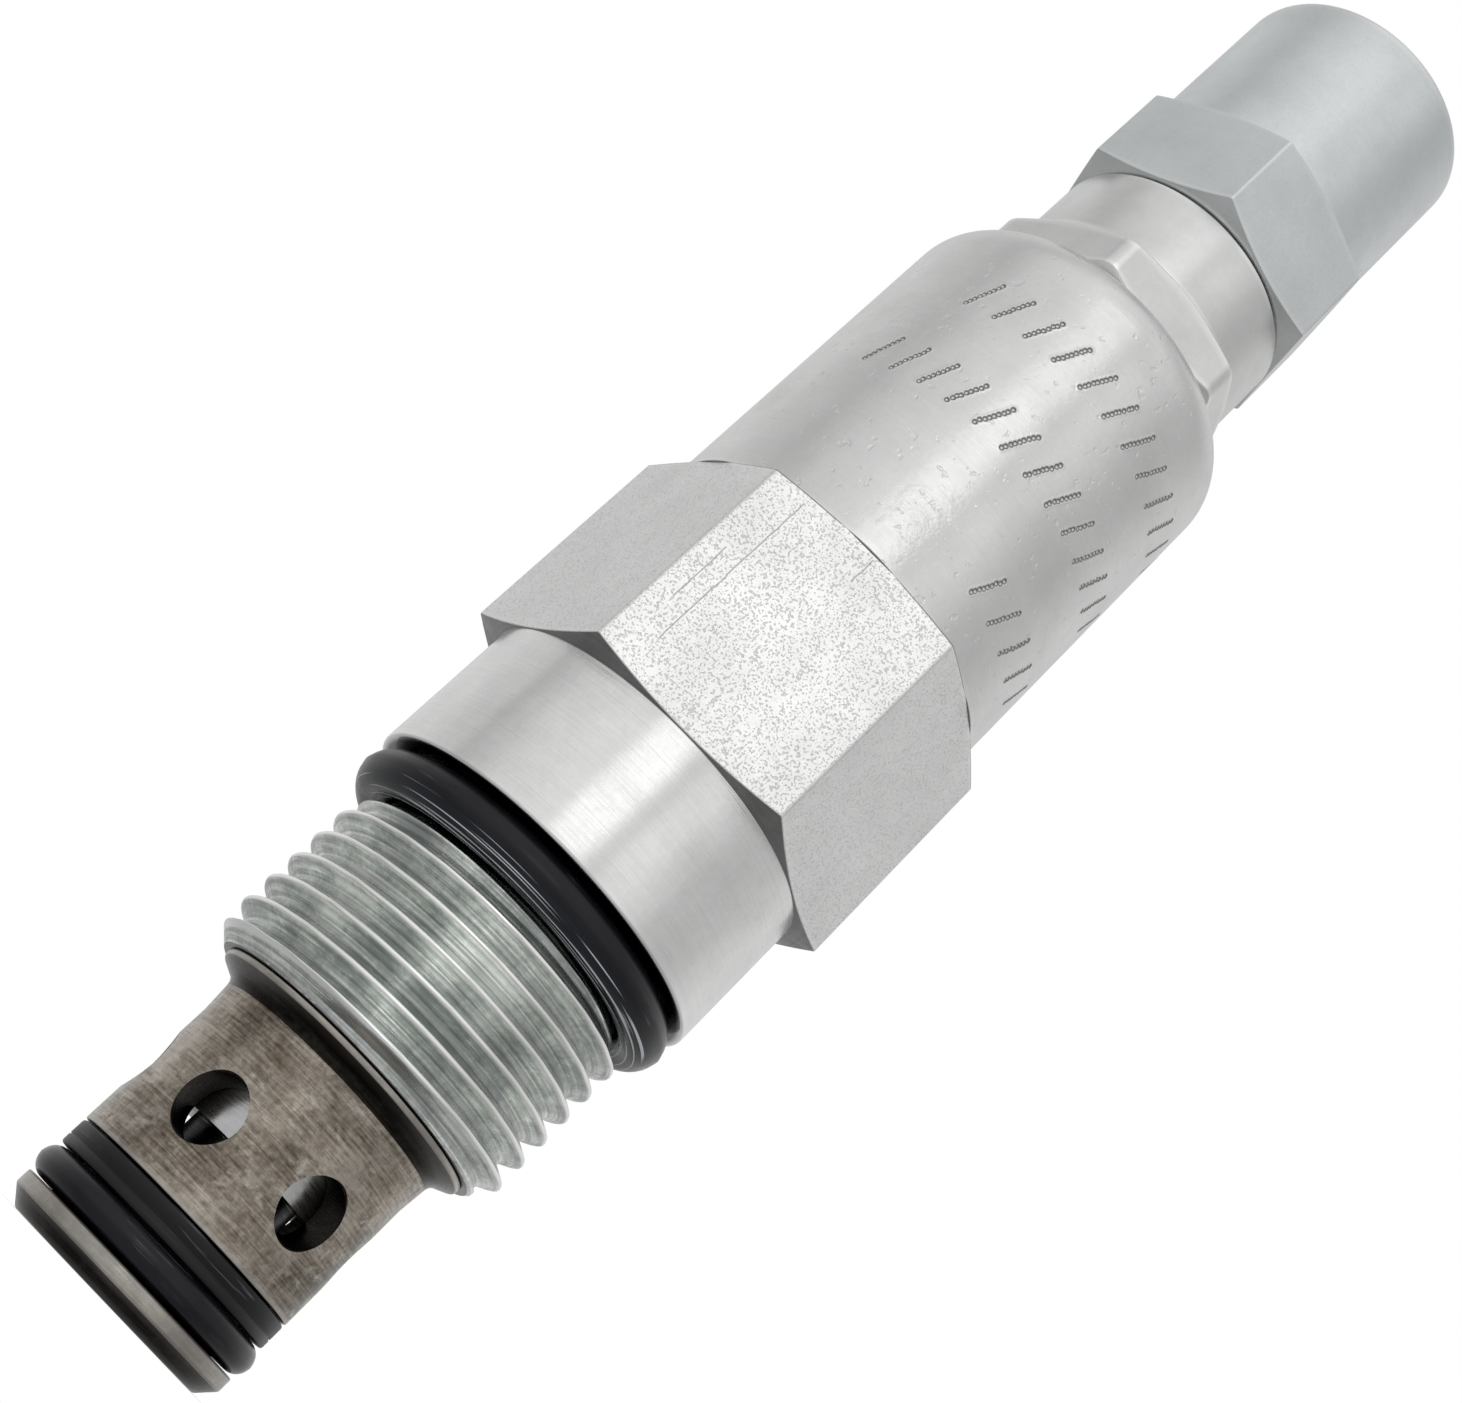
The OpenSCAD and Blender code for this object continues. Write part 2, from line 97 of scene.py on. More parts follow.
# hexagons: sizes across the flats, and where their first corners lie round the axis
BODY_FLATS = 25.4
BONNET_FLATS = 19.05
HEX_TURN = -3.0
BONNET_TURN = 11.0
CAP_TURN = 24.0

# side ports, and the edge of the poppet's guide that is seen through them
PORT_Z = -22.2
PORT_TURN = 3.5
PORT_R = 2.1
PORT_EDGE_R = 2.36
POPPET_EDGE_Z = -22.51


# ---------------------------------------------------------------- mesh building


def columns(step, corners=(), reach=1.2):
    """Angles of a piece's columns, in radians: a base step, and nine more within reach of each corner.

    step, corners and reach are in degrees.
    """
    angles = list(np.arange(0, 360, step))
    for middle in corners:
        angles += list(middle + np.linspace(-reach, reach, 9))
    angles = np.unique(np.round(np.mod(angles, 360), 3))
    closest = 0.04
    keep = np.concatenate([[True], np.diff(angles) > closest])
    return np.radians(angles[keep])


def hex_corners(turn):
    return [turn + 60 * k for k in range(6)]


def hexagon(angles, across_flats, turn, edge=0.25):
    """Radius of a hexagon at each angle. Its six upright edges have the radius edge."""
    half = across_flats / 2
    off = np.mod(np.degrees(angles) - turn + 30, 60) - 30
    off = np.radians(off)
    centre = (half - edge) / math.cos(math.pi / 6)
    tangent = math.atan2(edge * 0.5, centre + edge * math.cos(math.pi / 6))
    arc = centre * np.cos(off) + np.sqrt(np.maximum(edge**2 - (centre * np.sin(off)) ** 2, 0))
    flat = half / np.cos(math.pi / 6 - np.abs(off))
    return np.where(np.abs(off) < tangent, arc, flat)


def corner(r, z, fillet=0.0, material=None, arc=4, steps=(), support=0.3, edge=None):
    """A corner of an outline. material, steps and support are for the straight stretch that follows it.

    steps are shares of the stretch that get rows, and support is how far in from its ends two more rows lie.
    edge is how much the corner is lightened, for wear and a painted highlight, 0 to 1: fully when it has a
    small fillet, half when it is sharp.
    """
    if edge is None:
        edge = 0.5 if not fillet else float(fillet < 1)
    return {
        "r": r,
        "z": z,
        "fillet": fillet,
        "material": material,
        "arc": arc,
        "steps": steps,
        "support": support,
        "edge": edge,
    }


def quarter(r, z, radius, material, arc=16):
    """Corners that round an upper outer edge, from the wall to the top."""
    made = []
    for a in np.linspace(0, math.pi / 2, arc + 1):
        out = r + radius * (math.cos(a) - 1)
        up = z + radius * (math.sin(a) - 1)
        made.append(corner(out, up, 0, material, support=0, edge=0))
    return made


def thread(low, high, major, minor, pitch, crest, envelope, material, burr=None):
    """A right-hand thread from low to high, as rows that climb with the helix.

    crest is the height of a crest at angle 0. envelope gives the largest radius at a height.
    """
    return {
        "low": low,
        "high": high,
        "major": major,
        "minor": minor,
        "pitch": pitch,
        "crest": crest,
        "envelope": envelope,
        "material": material,
        "burr": burr,
    }


def thread_ends(root, depth, low, high, lead_in, run_out):
    """Envelope of a thread that rises from its root by depth over lead_in, and falls again over run_out."""

    def envelope(z):
        return root + np.minimum((z - low) * depth / lead_in, (high - z) * depth / run_out)

    return envelope


# rows of a thread's profile, in pitches off the crest
THREAD_ROWS = np.array(
    [-0.5, -0.44, -0.39, -0.34, -0.24, -0.15, -0.09, -0.065]
    + [-0.035, 0, 0.035, 0.065, 0.09, 0.15, 0.24, 0.34, 0.39, 0.44]
)
# rows on the lower flank painted with a dark line, painted shade beside the crest and near the root
SHADED_FLANK_ROWS = (-0.15, -0.34)
# how far off the crest, in pitches, the crest ends, the flank ends and the root's painted shade starts
CREST = 0.07
FLANK = 0.39
ROOT = 0.43
# how much, and over what share of the thread's depth, the crest and the root are rounded
ROUNDING = 0.035
ROUNDED = 0.12


def thread_highlight_and_shade(part):
    """Edge flag of a thread's row: 1 on the crest, for wear and a painted highlight, and below 0 for painted
    shade in the root and in dark lines on the lower flank.
    """
    if abs(part) < CREST:
        return 1.0
    if abs(part) > ROOT:
        return -0.8
    return -0.6 if part in SHADED_FLANK_ROWS else 0.0


def thread_rise(off):
    """Share of a thread's depth that is reached so many pitches off the crest."""
    rise = np.clip((FLANK - off) / (FLANK - CREST), 0, 1)
    rise = rise - ROUNDING * np.exp(-(((rise - 1) / ROUNDED) ** 2)) * np.clip(off / CREST, 0, 1)
    return rise + ROUNDING * np.exp(-((rise / ROUNDED) ** 2)) * np.clip((0.5 - off) / (0.5 - FLANK), 0, 1)


def thread_rows(item, angles):
    """Rows of radius and height for a thread."""
    pitch = item["pitch"]
    turns_down = math.ceil((item["crest"] - item["low"]) / pitch + 0.5)
    start = item["crest"] - pitch * (turns_down + 1)
    count = math.ceil((item["high"] - start) / pitch + 0.5) + 1
    rows = []
    for k in range(count):
        for part in THREAD_ROWS:
            z = start + pitch * (k + part + angles / FULL)
            z = np.clip(z, item["low"], item["high"])
            off = (z - item["crest"]) / pitch - angles / FULL
            rise = thread_rise(np.abs(off - np.round(off)))
            r = item["minor"] / 2 + (item["major"] - item["minor"]) / 2 * rise
            if item["burr"] is not None:
                r = r + item["burr"](angles, rise)
            rows.append(np.array((np.minimum(r, item["envelope"](z)), z)))
    return rows


def fillet_rows(item, before, here, after):
    """Rows that round a corner, on a curve between the stretches before and after it."""
    shortest = 1e-6
    back, ahead = before - here, after - here
    back_len = np.maximum(np.hypot(*back), shortest)
    ahead_len = np.maximum(np.hypot(*ahead), shortest)
    back = back / back_len
    ahead = ahead / ahead_len
    half = np.arccos(np.clip((back * ahead).sum(0), -0.9999, 0.9999)) / 2
    reach = item["fillet"] / np.maximum(np.tan(half), 0.03)
    longest = 0.45 * np.minimum(back_len, ahead_len)
    reach = np.minimum(reach, longest)
    first, last = here + back * reach, here + ahead * reach
    shares = [k / item["arc"] for k in range(item["arc"] + 1)]
    return [first * (1 - t) ** 2 + here * 2 * t * (1 - t) + last * t**2 for t in shares]


def stretch_rows(item, following, leaving, target):
    """Rows on the straight stretch after a corner: at its steps, and a little in from either end."""
    if following.get("fillet"):
        reach = min(following["fillet"], 0.45)
        gap = target - leaving
        length = np.maximum(np.hypot(*gap), 1e-6)
        if length.min() > 3 * reach:
            target = target - gap / length * reach
    gap = target - leaving
    shortest = np.hypot(*gap).min()
    shares = list(item["steps"])
    support = item["support"]
    if support and shortest > 3 * support:
        shares += [support / shortest, 1 - support / shortest]
    return [leaving + gap * share for share in sorted(shares)]


def outline_rows(outline, angles, closed):
    """Every row of an outline: its points, the material after it, its edge flag and its step at the seam."""
    n = len(angles)
    rows, materials, edges, seam = [], [], [], []

    def add(points, item, edge, step=0):
        rows.append(points)
        materials.append(item["material"])
        edges.append(edge)
        seam.append(step)

    count = len(outline)
    made = []
    for item in outline:
        if "pitch" in item:
            made.append(thread_rows(item, angles))
        else:
            made.append([np.array((np.broadcast_to(item["r"], n), np.broadcast_to(item["z"], n)), float)])
    for i, item in enumerate(outline):
        before = made[i - 1][-1] if closed or i > 0 else None
        after = made[(i + 1) % count][0] if closed or i + 1 < count else None
        if "pitch" in item:
            turn_up = len(THREAD_ROWS)
            for k, points in enumerate(made[i]):
                step = min(k + turn_up, len(made[i]) - 1) - k
                add(points, item, thread_highlight_and_shade(THREAD_ROWS[k % turn_up]), step)
            continue
        rounded = made[i]
        if item["fillet"] and before is not None and after is not None:
            rounded = fillet_rows(item, before, made[i][0], after)
        for points in rounded:
            add(points, item, item["edge"])
        if after is not None:
            for points in stretch_rows(item, outline[(i + 1) % count], rounded[-1], after):
                add(points, item, 0.0)
    return rows, materials, edges, seam


def heights(low, high, wanted):
    """Shares of the way from low to high at which an upright stretch gets rows."""
    return [(z - low) / (high - low) for z in wanted if low < z < high]


def ring_faces(row_count, n, seam, closed):
    """Faces between each row and the next. At the seam a thread's row meets the row one turn further up."""
    here = np.arange(n)
    beside = (here + 1) % n
    faces = []
    for i in range(row_count if closed else row_count - 1):
        k = (i + 1) % row_count
        low = i + np.where(beside == 0, seam[i], 0)
        high = k + np.where(beside == 0, seam[k], 0)
        faces.append(np.stack([i * n + here, low * n + beside, high * n + beside, k * n + here], axis=1))
    return np.concatenate(faces)


def revolve(name, outline, angles, materials, closed=True):
    """A closed mesh from an outline turned about Z, with columns at angles.

    A corner may give a radius and a height for each column. Without a material, it has the first one.
    """
    rows, stretches, edges, seam = outline_rows(outline, angles, closed)
    n = len(angles)
    radius, height = np.array(rows).transpose(1, 0, 2)
    points = np.stack([radius * np.cos(angles), radius * np.sin(angles), height], axis=-1)
    points = points.reshape(-1, 3) * MM
    faces = ring_faces(len(rows), n, seam, closed)
    index = [0 if material is None else materials.index(material) for material in stretches]
    mesh = bpy.data.meshes.new(name)
    mesh.vertices.add(len(points))
    mesh.vertices.foreach_set("co", points.ravel().astype(np.float32))
    mesh.loops.add(faces.size)
    mesh.loops.foreach_set("vertex_index", faces.ravel().astype(np.int32))
    mesh.polygons.add(len(faces))
    mesh.polygons.foreach_set("loop_start", np.arange(0, faces.size, 4, dtype=np.int32))
    mesh.polygons.foreach_set("material_index", np.repeat(index, n)[:len(faces)].astype(np.int32))
    mesh.update(calc_edges=True)
    flag = mesh.attributes.new("edge", "FLOAT", "POINT")
    flag.data.foreach_set("value", np.repeat(np.array(edges, np.float32), n))
    bm = bmesh.new()
    bm.from_mesh(mesh)
    bmesh.ops.remove_doubles(bm, verts=bm.verts, dist=2e-7)
    bmesh.ops.dissolve_degenerate(bm, edges=bm.edges, dist=1e-8)
    bmesh.ops.recalc_face_normals(bm, faces=bm.faces)
    for face in bm.faces:
        face.smooth = True
    bm.to_mesh(mesh)
    bm.free()
    return finish_mesh(name, mesh, materials)


def add_object(name, data):
    made = bpy.data.objects.new(name, data)
    bpy.context.scene.collection.objects.link(made)
    return made


def finish_mesh(name, mesh, materials):
    """A piece with its materials. Its larger faces set how it is shaded."""
    piece = add_object(name, mesh)
    for material in materials:
        mesh.materials.append(material)
    normals = piece.modifiers.new("normals", "WEIGHTED_NORMAL")
    normals.keep_sharp = True
    normals.weight = 60
    return piece


# ---------------------------------------------------------------- materials

# depth of the surfaces' finest relief, in metres
RELIEF = 0.00004


class Shader:
    """A material under construction, with short ways to add nodes. Noise scales are per metre."""

    def __init__(self, name):
        self.material = bpy.data.materials.new(name)
        self.material.use_nodes = True
        self.tree = self.material.node_tree
        self.tree.nodes.clear()
        self.surface = self.tree.nodes.new("ShaderNodeBsdfPrincipled")
        output = self.tree.nodes.new("ShaderNodeOutputMaterial")
        self.tree.links.new(self.surface.outputs[0], output.inputs["Surface"])
        self.place = self.node("ShaderNodeTexCoord").outputs["Object"]

    def node(self, kind, inputs=None, **props):
        made = self.tree.nodes.new(kind)
        for key, value in props.items():
            setattr(made, key, value)
        for key, value in (inputs or {}).items():
            self.put(made.inputs[key], value)
        return made

    def put(self, socket, value):
        if isinstance(value, bpy.types.NodeSocket):
            self.tree.links.new(value, socket)
        else:
            socket.default_value = value

    def math(self, operation, a, b=0.0, clamp=False):
        return self.node("ShaderNodeMath", {0: a, 1: b}, operation=operation, use_clamp=clamp).outputs[0]

    def times(self, a, b):
        return self.math("MULTIPLY", a, b)

    def minus(self, a, b):
        return self.math("SUBTRACT", a, b)

    def plus(self, total, *terms):
        for term in terms:
            total = self.math("ADD", total, term)
        return total

    def vector(self, operation, a, b):
        return self.node("ShaderNodeVectorMath", {0: a, 1: b}, operation=operation).outputs["Vector"]

    def parts(self):
        """The place's X, Y and Z."""
        return self.node("ShaderNodeSeparateXYZ", {0: self.place}).outputs

    def noise(self, place, scale, detail=3.0, roughness=0.55):
        """Noise at a place, which is a vector or, from around(), a vector and a fourth coordinate."""
        inputs = {"Scale": scale, "Detail": detail, "Roughness": roughness}
        if isinstance(place, tuple):
            inputs["Vector"], inputs["W"] = place
            made = self.node("ShaderNodeTexNoise", noise_dimensions="4D")
        else:
            inputs["Vector"] = place
            made = self.node("ShaderNodeTexNoise")
        for key, value in inputs.items():
            self.put(made.inputs[key], value)
        return made.outputs["Fac"]

    def ramp(self, value, *stops):
        """Maps value through stops of (position, colour or grey level)."""
        made = self.node("ShaderNodeValToRGB", {"Fac": value})
        band = made.color_ramp
        while len(band.elements) < len(stops):
            band.elements.new(0.5)
        for element, (position, colour) in zip(band.elements, stops):
            element.position = position
            if not hasattr(colour, "__len__"):
                colour = (colour, colour, colour)
            element.color = (*colour, 1)
        return made.outputs["Color"]

    def mix(self, factor, a, b):
        made = self.node("ShaderNodeMix", data_type="RGBA", clamp_factor=True)
        self.put(made.inputs[0], factor)
        for socket, value in ((made.inputs[6], a), (made.inputs[7], b)):
            if not isinstance(value, bpy.types.NodeSocket) and len(value) == 3:
                value = (*value, 1)
            self.put(socket, value)
        return made.outputs[2]

    def around(self, spin, along):
        """Noise coordinates that run round the axis: spin for a turn's size, along per metre up and out."""
        flat = self.vector("MULTIPLY", self.place, (1, 1, 0))
        radius = self.node("ShaderNodeVectorMath", {0: flat}, operation="LENGTH").outputs["Value"]
        direction = self.node("ShaderNodeVectorMath", {0: flat}, operation="NORMALIZE").outputs["Vector"]
        spun = self.vector("MULTIPLY", direction, (spin, spin, 0))
        lift = self.node("ShaderNodeCombineXYZ", {"Z": self.times(self.parts()["Z"], along)})
        return self.vector("ADD", spun, lift.outputs[0]), self.times(radius, along)

    def scratch(self, x, low, high):
        """A scratch along the axis on the side toward -Y, at x from low to high: 1 on it, 0 away from it."""
        parts = self.parts()
        width, swing = 0.05, 0.25
        wander = self.times(self.noise(self.place, 700, 3, 0.6), swing * MM)
        off = self.math("ABSOLUTE", self.minus(self.plus(parts["X"], wander), (x + swing / 2) * MM))
        line = self.math("SUBTRACT", 1.0, self.math("DIVIDE", off, width * MM), clamp=True)
        above = self.math("GREATER_THAN", parts["Z"], low * MM)
        below = self.math("LESS_THAN", parts["Z"], high * MM)
        front = self.math("LESS_THAN", parts["Y"], 0.0)
        return self.times(line, self.times(self.times(above, below), front))

    def blot(self, x, z, wide, high):
        """A ragged patch on the side toward -Y: 1 in its middle, 0 outside."""
        parts = self.parts()
        across = self.math("DIVIDE", self.minus(parts["X"], x * MM), wide * MM)
        along = self.math("DIVIDE", self.minus(parts["Z"], z * MM), high * MM)
        ragged = self.times(self.noise(self.place, 600, 3, 0.6), 0.8)
        off = self.plus(self.times(across, across), self.times(along, along), ragged)
        front = self.math("LESS_THAN", parts["Y"], 0.0)
        return self.times(self.ramp(off, (0.55, 1.0), (1.0, 0.0)), front)

    def flag(self, name):
        return self.node("ShaderNodeAttribute", attribute_name=name).outputs["Fac"]

    def bump(self, height, strength, distance):
        return self.node(
            "ShaderNodeBump", {"Height": height, "Strength": strength, "Distance": distance}
        ).outputs["Normal"]

    def set(self, **values):
        """Puts values on the surface's sockets. Spaces in their names are written as _."""
        for key, value in values.items():
            self.put(self.surface.inputs[key.replace("_", " ")], value)
        return self.material

    def set_turned(self, amount, **values):
        """As set(), with highlights that are stretched as on a turned surface."""
        tangent = self.node("ShaderNodeTangent", direction_type="RADIAL", axis="Z").outputs[0]
        self.set(Anisotropic=amount, Anisotropic_Rotation=0.25, Tangent=tangent, Metallic=1.0)
        return self.set(**values)


def zinc(
    name,
    light=(0.735, 0.74, 0.73),
    dark=(0.64, 0.645, 0.635),
    rough=(0.26, 0.34),
    turned=0.25,
    line_scale=9000,
    grain=0.15,
    grain_scale=2600,
    specks=0.0,
    anisotropy=0.5,
    stain=(0.50, 0.49, 0.46),
    stain_amount=0.2,
    wear_and_highlight=0.3,
    contrast=0.16,
    dents=0.0,
    scratches=(),
    rough_patches=(),
):
    """Zinc-plated steel: cloudy plating, turning marks, fine grain, specks, scratches, edges lightened for
    wear and a painted highlight, and painted shade in a thread's root and on its lower flank.

    light and dark are the plating's colours, and rough is how rough it is where it is light and dark.
    scratches are (x, low, high) and rough_patches are (x, z, wide, high).
    """
    s = Shader(name)
    grey = (0.3, 0.3, 0.3)
    cloud = s.noise(s.place, 220, 5, 0.6)
    fine = s.noise(s.place, grain_scale, 3, 0.65)
    lines = s.noise(s.around(2.2, line_scale), 1.0, 3, 0.6)
    broad = s.noise(s.around(1.5, 900), 1.0, 2, 0.5)
    tone = s.plus(s.times(cloud, 0.55), s.times(fine, 0.2), s.times(lines, 0.1 + 0.5 * turned))
    middle = (0.85 + 0.5 * turned) / 2
    low, high = middle - contrast, middle + contrast
    colour = s.mix(s.ramp(tone, (low, 0.0), (high, 1.0)), dark, light)
    spots = s.ramp(s.noise(s.place, 90, 6, 0.7), (0.56, 0.0), (0.72, 1.0))
    colour = s.mix(s.times(spots, stain_amount), colour, stain)
    height = s.plus(s.times(lines, turned), s.times(broad, 0.4 * turned), s.times(fine, grain))
    if specks:
        pit = s.ramp(s.noise(s.place, 2.9 * grain_scale, 2, 0.5), (0.56, 0.0), (0.68, 1.0))
        height = s.minus(height, s.times(pit, 0.9 * specks))
        colour = s.mix(s.times(pit, 0.3 * specks), colour, grey)
    if dents:
        dent = s.ramp(s.noise(s.place, 1500, 2, 0.5), (0.65, 0.0), (0.73, 1.0))
        height = s.minus(height, s.times(dent, dents))
    for patch in rough_patches:
        ripple = s.times(s.noise(s.around(14.0, 1500), 1.0, 4, 0.7), 2.6)
        height = s.plus(height, s.times(s.blot(*patch), ripple))
    for scratch in scratches:
        line = s.scratch(*scratch)
        height = s.minus(height, line)
        colour = s.mix(s.times(line, 0.45), colour, grey)
    # edges lightened: wear, and a painted highlight along them
    colour = s.mix(s.times(s.flag("edge"), wear_and_highlight), colour, (0.86, 0.86, 0.85))
    # painted shade in a thread's root and in dark lines on its lower flank
    thread_painted_shade = s.math("MULTIPLY", s.flag("edge"), -0.7, clamp=True)
    colour = s.mix(thread_painted_shade, colour, (0.14, 0.15, 0.15))
    colour = s.mix(s.flag("mark"), colour, (0.10, 0.10, 0.09))
    return s.set_turned(
        anisotropy,
        Base_Color=colour,
        Roughness=s.ramp(tone, (low, rough[1]), (high, rough[0])),
        Normal=s.bump(height, 0.6, RELIEF),
    )


def rubber(name, colour=(0.005, 0.005, 0.007), rough=(0.2, 0.36), sheen_below=None):
    """Oiled nitrile rubber: near black, soft gloss, dust specks, faint moulding marks, and lighter lines
    round it that are partly rub marks and partly painted highlights.

    Below a given height it gets a painted sheen: blue-black, with thin bright arcs of painted highlight.
    """
    s = Shader(name)
    cloud = s.noise(s.place, 300, 4, 0.6)
    fine = s.noise(s.place, 4200, 3, 0.6)
    lines = s.noise(s.around(1.2, 3800), 1.0, 3, 0.6)
    patch = s.noise(s.place, 160, 3, 0.6)
    dust = s.ramp(s.noise(s.place, 1500, 5, 0.75), (0.68, 0.0), (0.78, 1.0))
    tint = s.mix(cloud, colour, tuple(2.2 * c for c in colour))
    tint = s.mix(s.times(dust, 0.2), tint, (0.12, 0.12, 0.13))
    # lighter lines round the ring in patches: partly rub marks, partly painted highlight lines
    rubbed = s.times(s.ramp(lines, (0.57, 0.0), (0.64, 1.0)), s.ramp(patch, (0.48, 0.0), (0.6, 1.0)))
    tint = s.mix(s.times(rubbed, 0.5), tint, (0.16, 0.165, 0.18))
    if sheen_below is not None:
        # painted sheen below that height: blue-black, with thin bright arcs of painted highlight
        sheen_zone = s.math("LESS_THAN", s.parts()["Z"], sheen_below * MM)
        highlight_arcs = s.ramp(s.noise(s.around(0.9, 6500), 1.0, 2, 0.5), (0.58, 0.0), (0.63, 1.0))
        painted_sheen = s.mix(highlight_arcs, (0.010, 0.013, 0.019), (0.62, 0.64, 0.68))
        tint = s.mix(sheen_zone, tint, painted_sheen)
    height = s.plus(s.times(fine, 0.3), s.times(cloud, 0.5), s.times(lines, 0.9))
    return s.set(
        Base_Color=tint,
        Roughness=s.ramp(cloud, (0.3, rough[0]), (0.7, rough[1])),
        Specular_IOR_Level=0.27,
        Normal=s.bump(height, 0.4, RELIEF),
    )


def heat_treated(name, shade=1.0, wear_and_highlight=0.6):
    """Hardened steel, turned and blackened to a brown grey, with rubbed patches and edges lightened for wear
    and a painted highlight. A shade below 1 darkens every colour, for copies painted darker as shade.
    """

    def shaded(*colour):
        return tuple(shade * c for c in colour)

    s = Shader(name)
    cloud = s.noise(s.place, 160, 5, 0.6)
    fine = s.noise(s.place, 2500, 3, 0.65)
    lines = s.noise(s.around(2.5, 7000), 1.0, 4, 0.65)
    streaks = s.noise(s.around(5.0, 1500), 1.0, 3, 0.6)
    rubbed = s.noise(s.place, 420, 6, 0.75)
    tone = s.plus(s.times(cloud, 0.45), s.times(lines, 0.35), s.times(fine, 0.2))
    colour = s.ramp(
        tone,
        (0.41, shaded(0.085, 0.07, 0.055)),
        (0.49, shaded(0.215, 0.185, 0.15)),
        (0.58, shaded(0.40, 0.36, 0.31)),
    )
    bright = s.times(s.ramp(streaks, (0.52, 0.0), (0.64, 1.0)), s.ramp(rubbed, (0.47, 0.0), (0.58, 1.0)))
    colour = s.mix(s.times(bright, 0.6), colour, shaded(0.58, 0.55, 0.50))
    rust = s.ramp(s.noise(s.place, 260, 5, 0.7), (0.55, 0.0), (0.72, 1.0))
    colour = s.mix(s.times(rust, 0.35), colour, shaded(0.17, 0.11, 0.07))
    # edges lightened: wear, and a painted highlight along them
    colour = s.mix(s.times(s.flag("edge"), wear_and_highlight), colour, (0.5, 0.48, 0.45))
    height = s.plus(s.times(lines, 0.6), s.times(fine, 0.25))
    return s.set_turned(
        0.4,
        Base_Color=colour,
        Roughness=s.ramp(tone, (0.3, 0.36), (0.7, 0.2)),
        Normal=s.bump(height, 0.6, RELIEF),
    )


def poppet_steel():
    """Ground steel on the poppet's guide. The cone and the waist below it are painted near black as shade,
    deep in the cage.
    """
    s = Shader("poppet_steel")
    lines = s.noise(s.around(2.0, 6000), 1.0, 3, 0.6)
    cloud = s.noise(s.place, 300, 4, 0.6)
    above = s.math("GREATER_THAN", s.parts()["Z"], POPPET_EDGE_Z * MM)
    ground = s.ramp(cloud, (0.3, 0.42), (0.7, 0.62))
    # below the guide's edge: painted shade, near black
    cone_painted_shade = s.ramp(cloud, (0.3, 0.012), (0.7, 0.03))
    return s.set(
        Base_Color=s.mix(above, cone_painted_shade, ground),
        Metallic=1.0,
        Roughness=s.ramp(lines, (0.3, 0.36), (0.7, 0.2)),
        Normal=s.bump(lines, 0.4, RELIEF / 2),
    )


THREAD_ZINC = zinc(
    "thread_zinc",
    light=(0.89, 0.92, 0.88),
    dark=(0.48, 0.51, 0.49),
    rough=(0.2, 0.34),
    turned=0.6,
    line_scale=7000,
    stain=(0.20, 0.23, 0.24),
    stain_amount=0.55,
    wear_and_highlight=1.0,
    contrast=0.07,
)
# the neck under the port O-ring is painted near black: painted shade and a painted reflection of the black
# O-ring
NECK_PAINTED_SHADE = zinc(
    "neck_painted_shade",
    light=(0.05, 0.058, 0.07),
    dark=(0.012, 0.015, 0.02),
    rough=(0.08, 0.16),
    stain=(0.02, 0.025, 0.035),
    wear_and_highlight=0.8,
)
COLLAR_ZINC = zinc(
    "collar_zinc",
    light=(0.80, 0.805, 0.795),
    dark=(0.69, 0.695, 0.685),
    rough=(0.2, 0.3),
    turned=0.55,
    grain=0.1,
    anisotropy=0.75,
)
HEX_ZINC = zinc(
    "hexagon_zinc",
    rough=(0.28, 0.36),
    light=(0.76, 0.76, 0.755),
    dark=(0.68, 0.68, 0.675),
    turned=0.03,
    grain=0.7,
    grain_scale=2300,
    specks=0.85,
    anisotropy=0.0,
    scratches=((-5.4, 12.6, 25.0), (-6.6, 15.0, 19.5), (-0.2, 23.6, 25.6)),
)
BARREL_ZINC = zinc(
    "barrel_zinc",
    rough=(0.25, 0.34),
    turned=0.25,
    grain=0.35,
    dents=1.1,
    rough_patches=((0.6, 29.5, 3.4, 4.4), (-9.5, 41.0, 2.0, 6.0)),
)
# zinc painted dark as shade, for the chamfers round the hexagon and at the bore's mouth
SHADED_CHAMFER_ZINC = zinc(
    "shaded_chamfer_zinc",
    light=(0.26, 0.26, 0.26),
    dark=(0.13, 0.13, 0.13),
    turned=0.6,
    rough=(0.3, 0.42),
    wear_and_highlight=0.1,
)
BORE_STEEL = zinc("bore_steel", light=(0.30, 0.30, 0.29), dark=(0.15, 0.15, 0.15), turned=0.6)
CAP_ZINC = zinc(
    "cap_zinc",
    light=(0.70, 0.725, 0.73),
    dark=(0.61, 0.635, 0.64),
    rough=(0.32, 0.42),
    turned=0.12,
    grain=0.25,
    specks=0.25,
    anisotropy=0.3,
    stain_amount=0.12,
)
BONNET_ZINC = zinc("bonnet_zinc", rough=(0.28, 0.38), turned=0.2, wear_and_highlight=0.7)
# a copy of the cap's zinc painted darker as shade, for its lower chamfer and underside
SHADED_CAP_CHAMFER = zinc(
    "shaded_cap_chamfer_zinc",
    light=(0.58, 0.61, 0.62),
    dark=(0.45, 0.48, 0.49),
    rough=(0.32, 0.42),
    turned=0.2,
)
CAGE_STEEL = heat_treated("cage_steel")
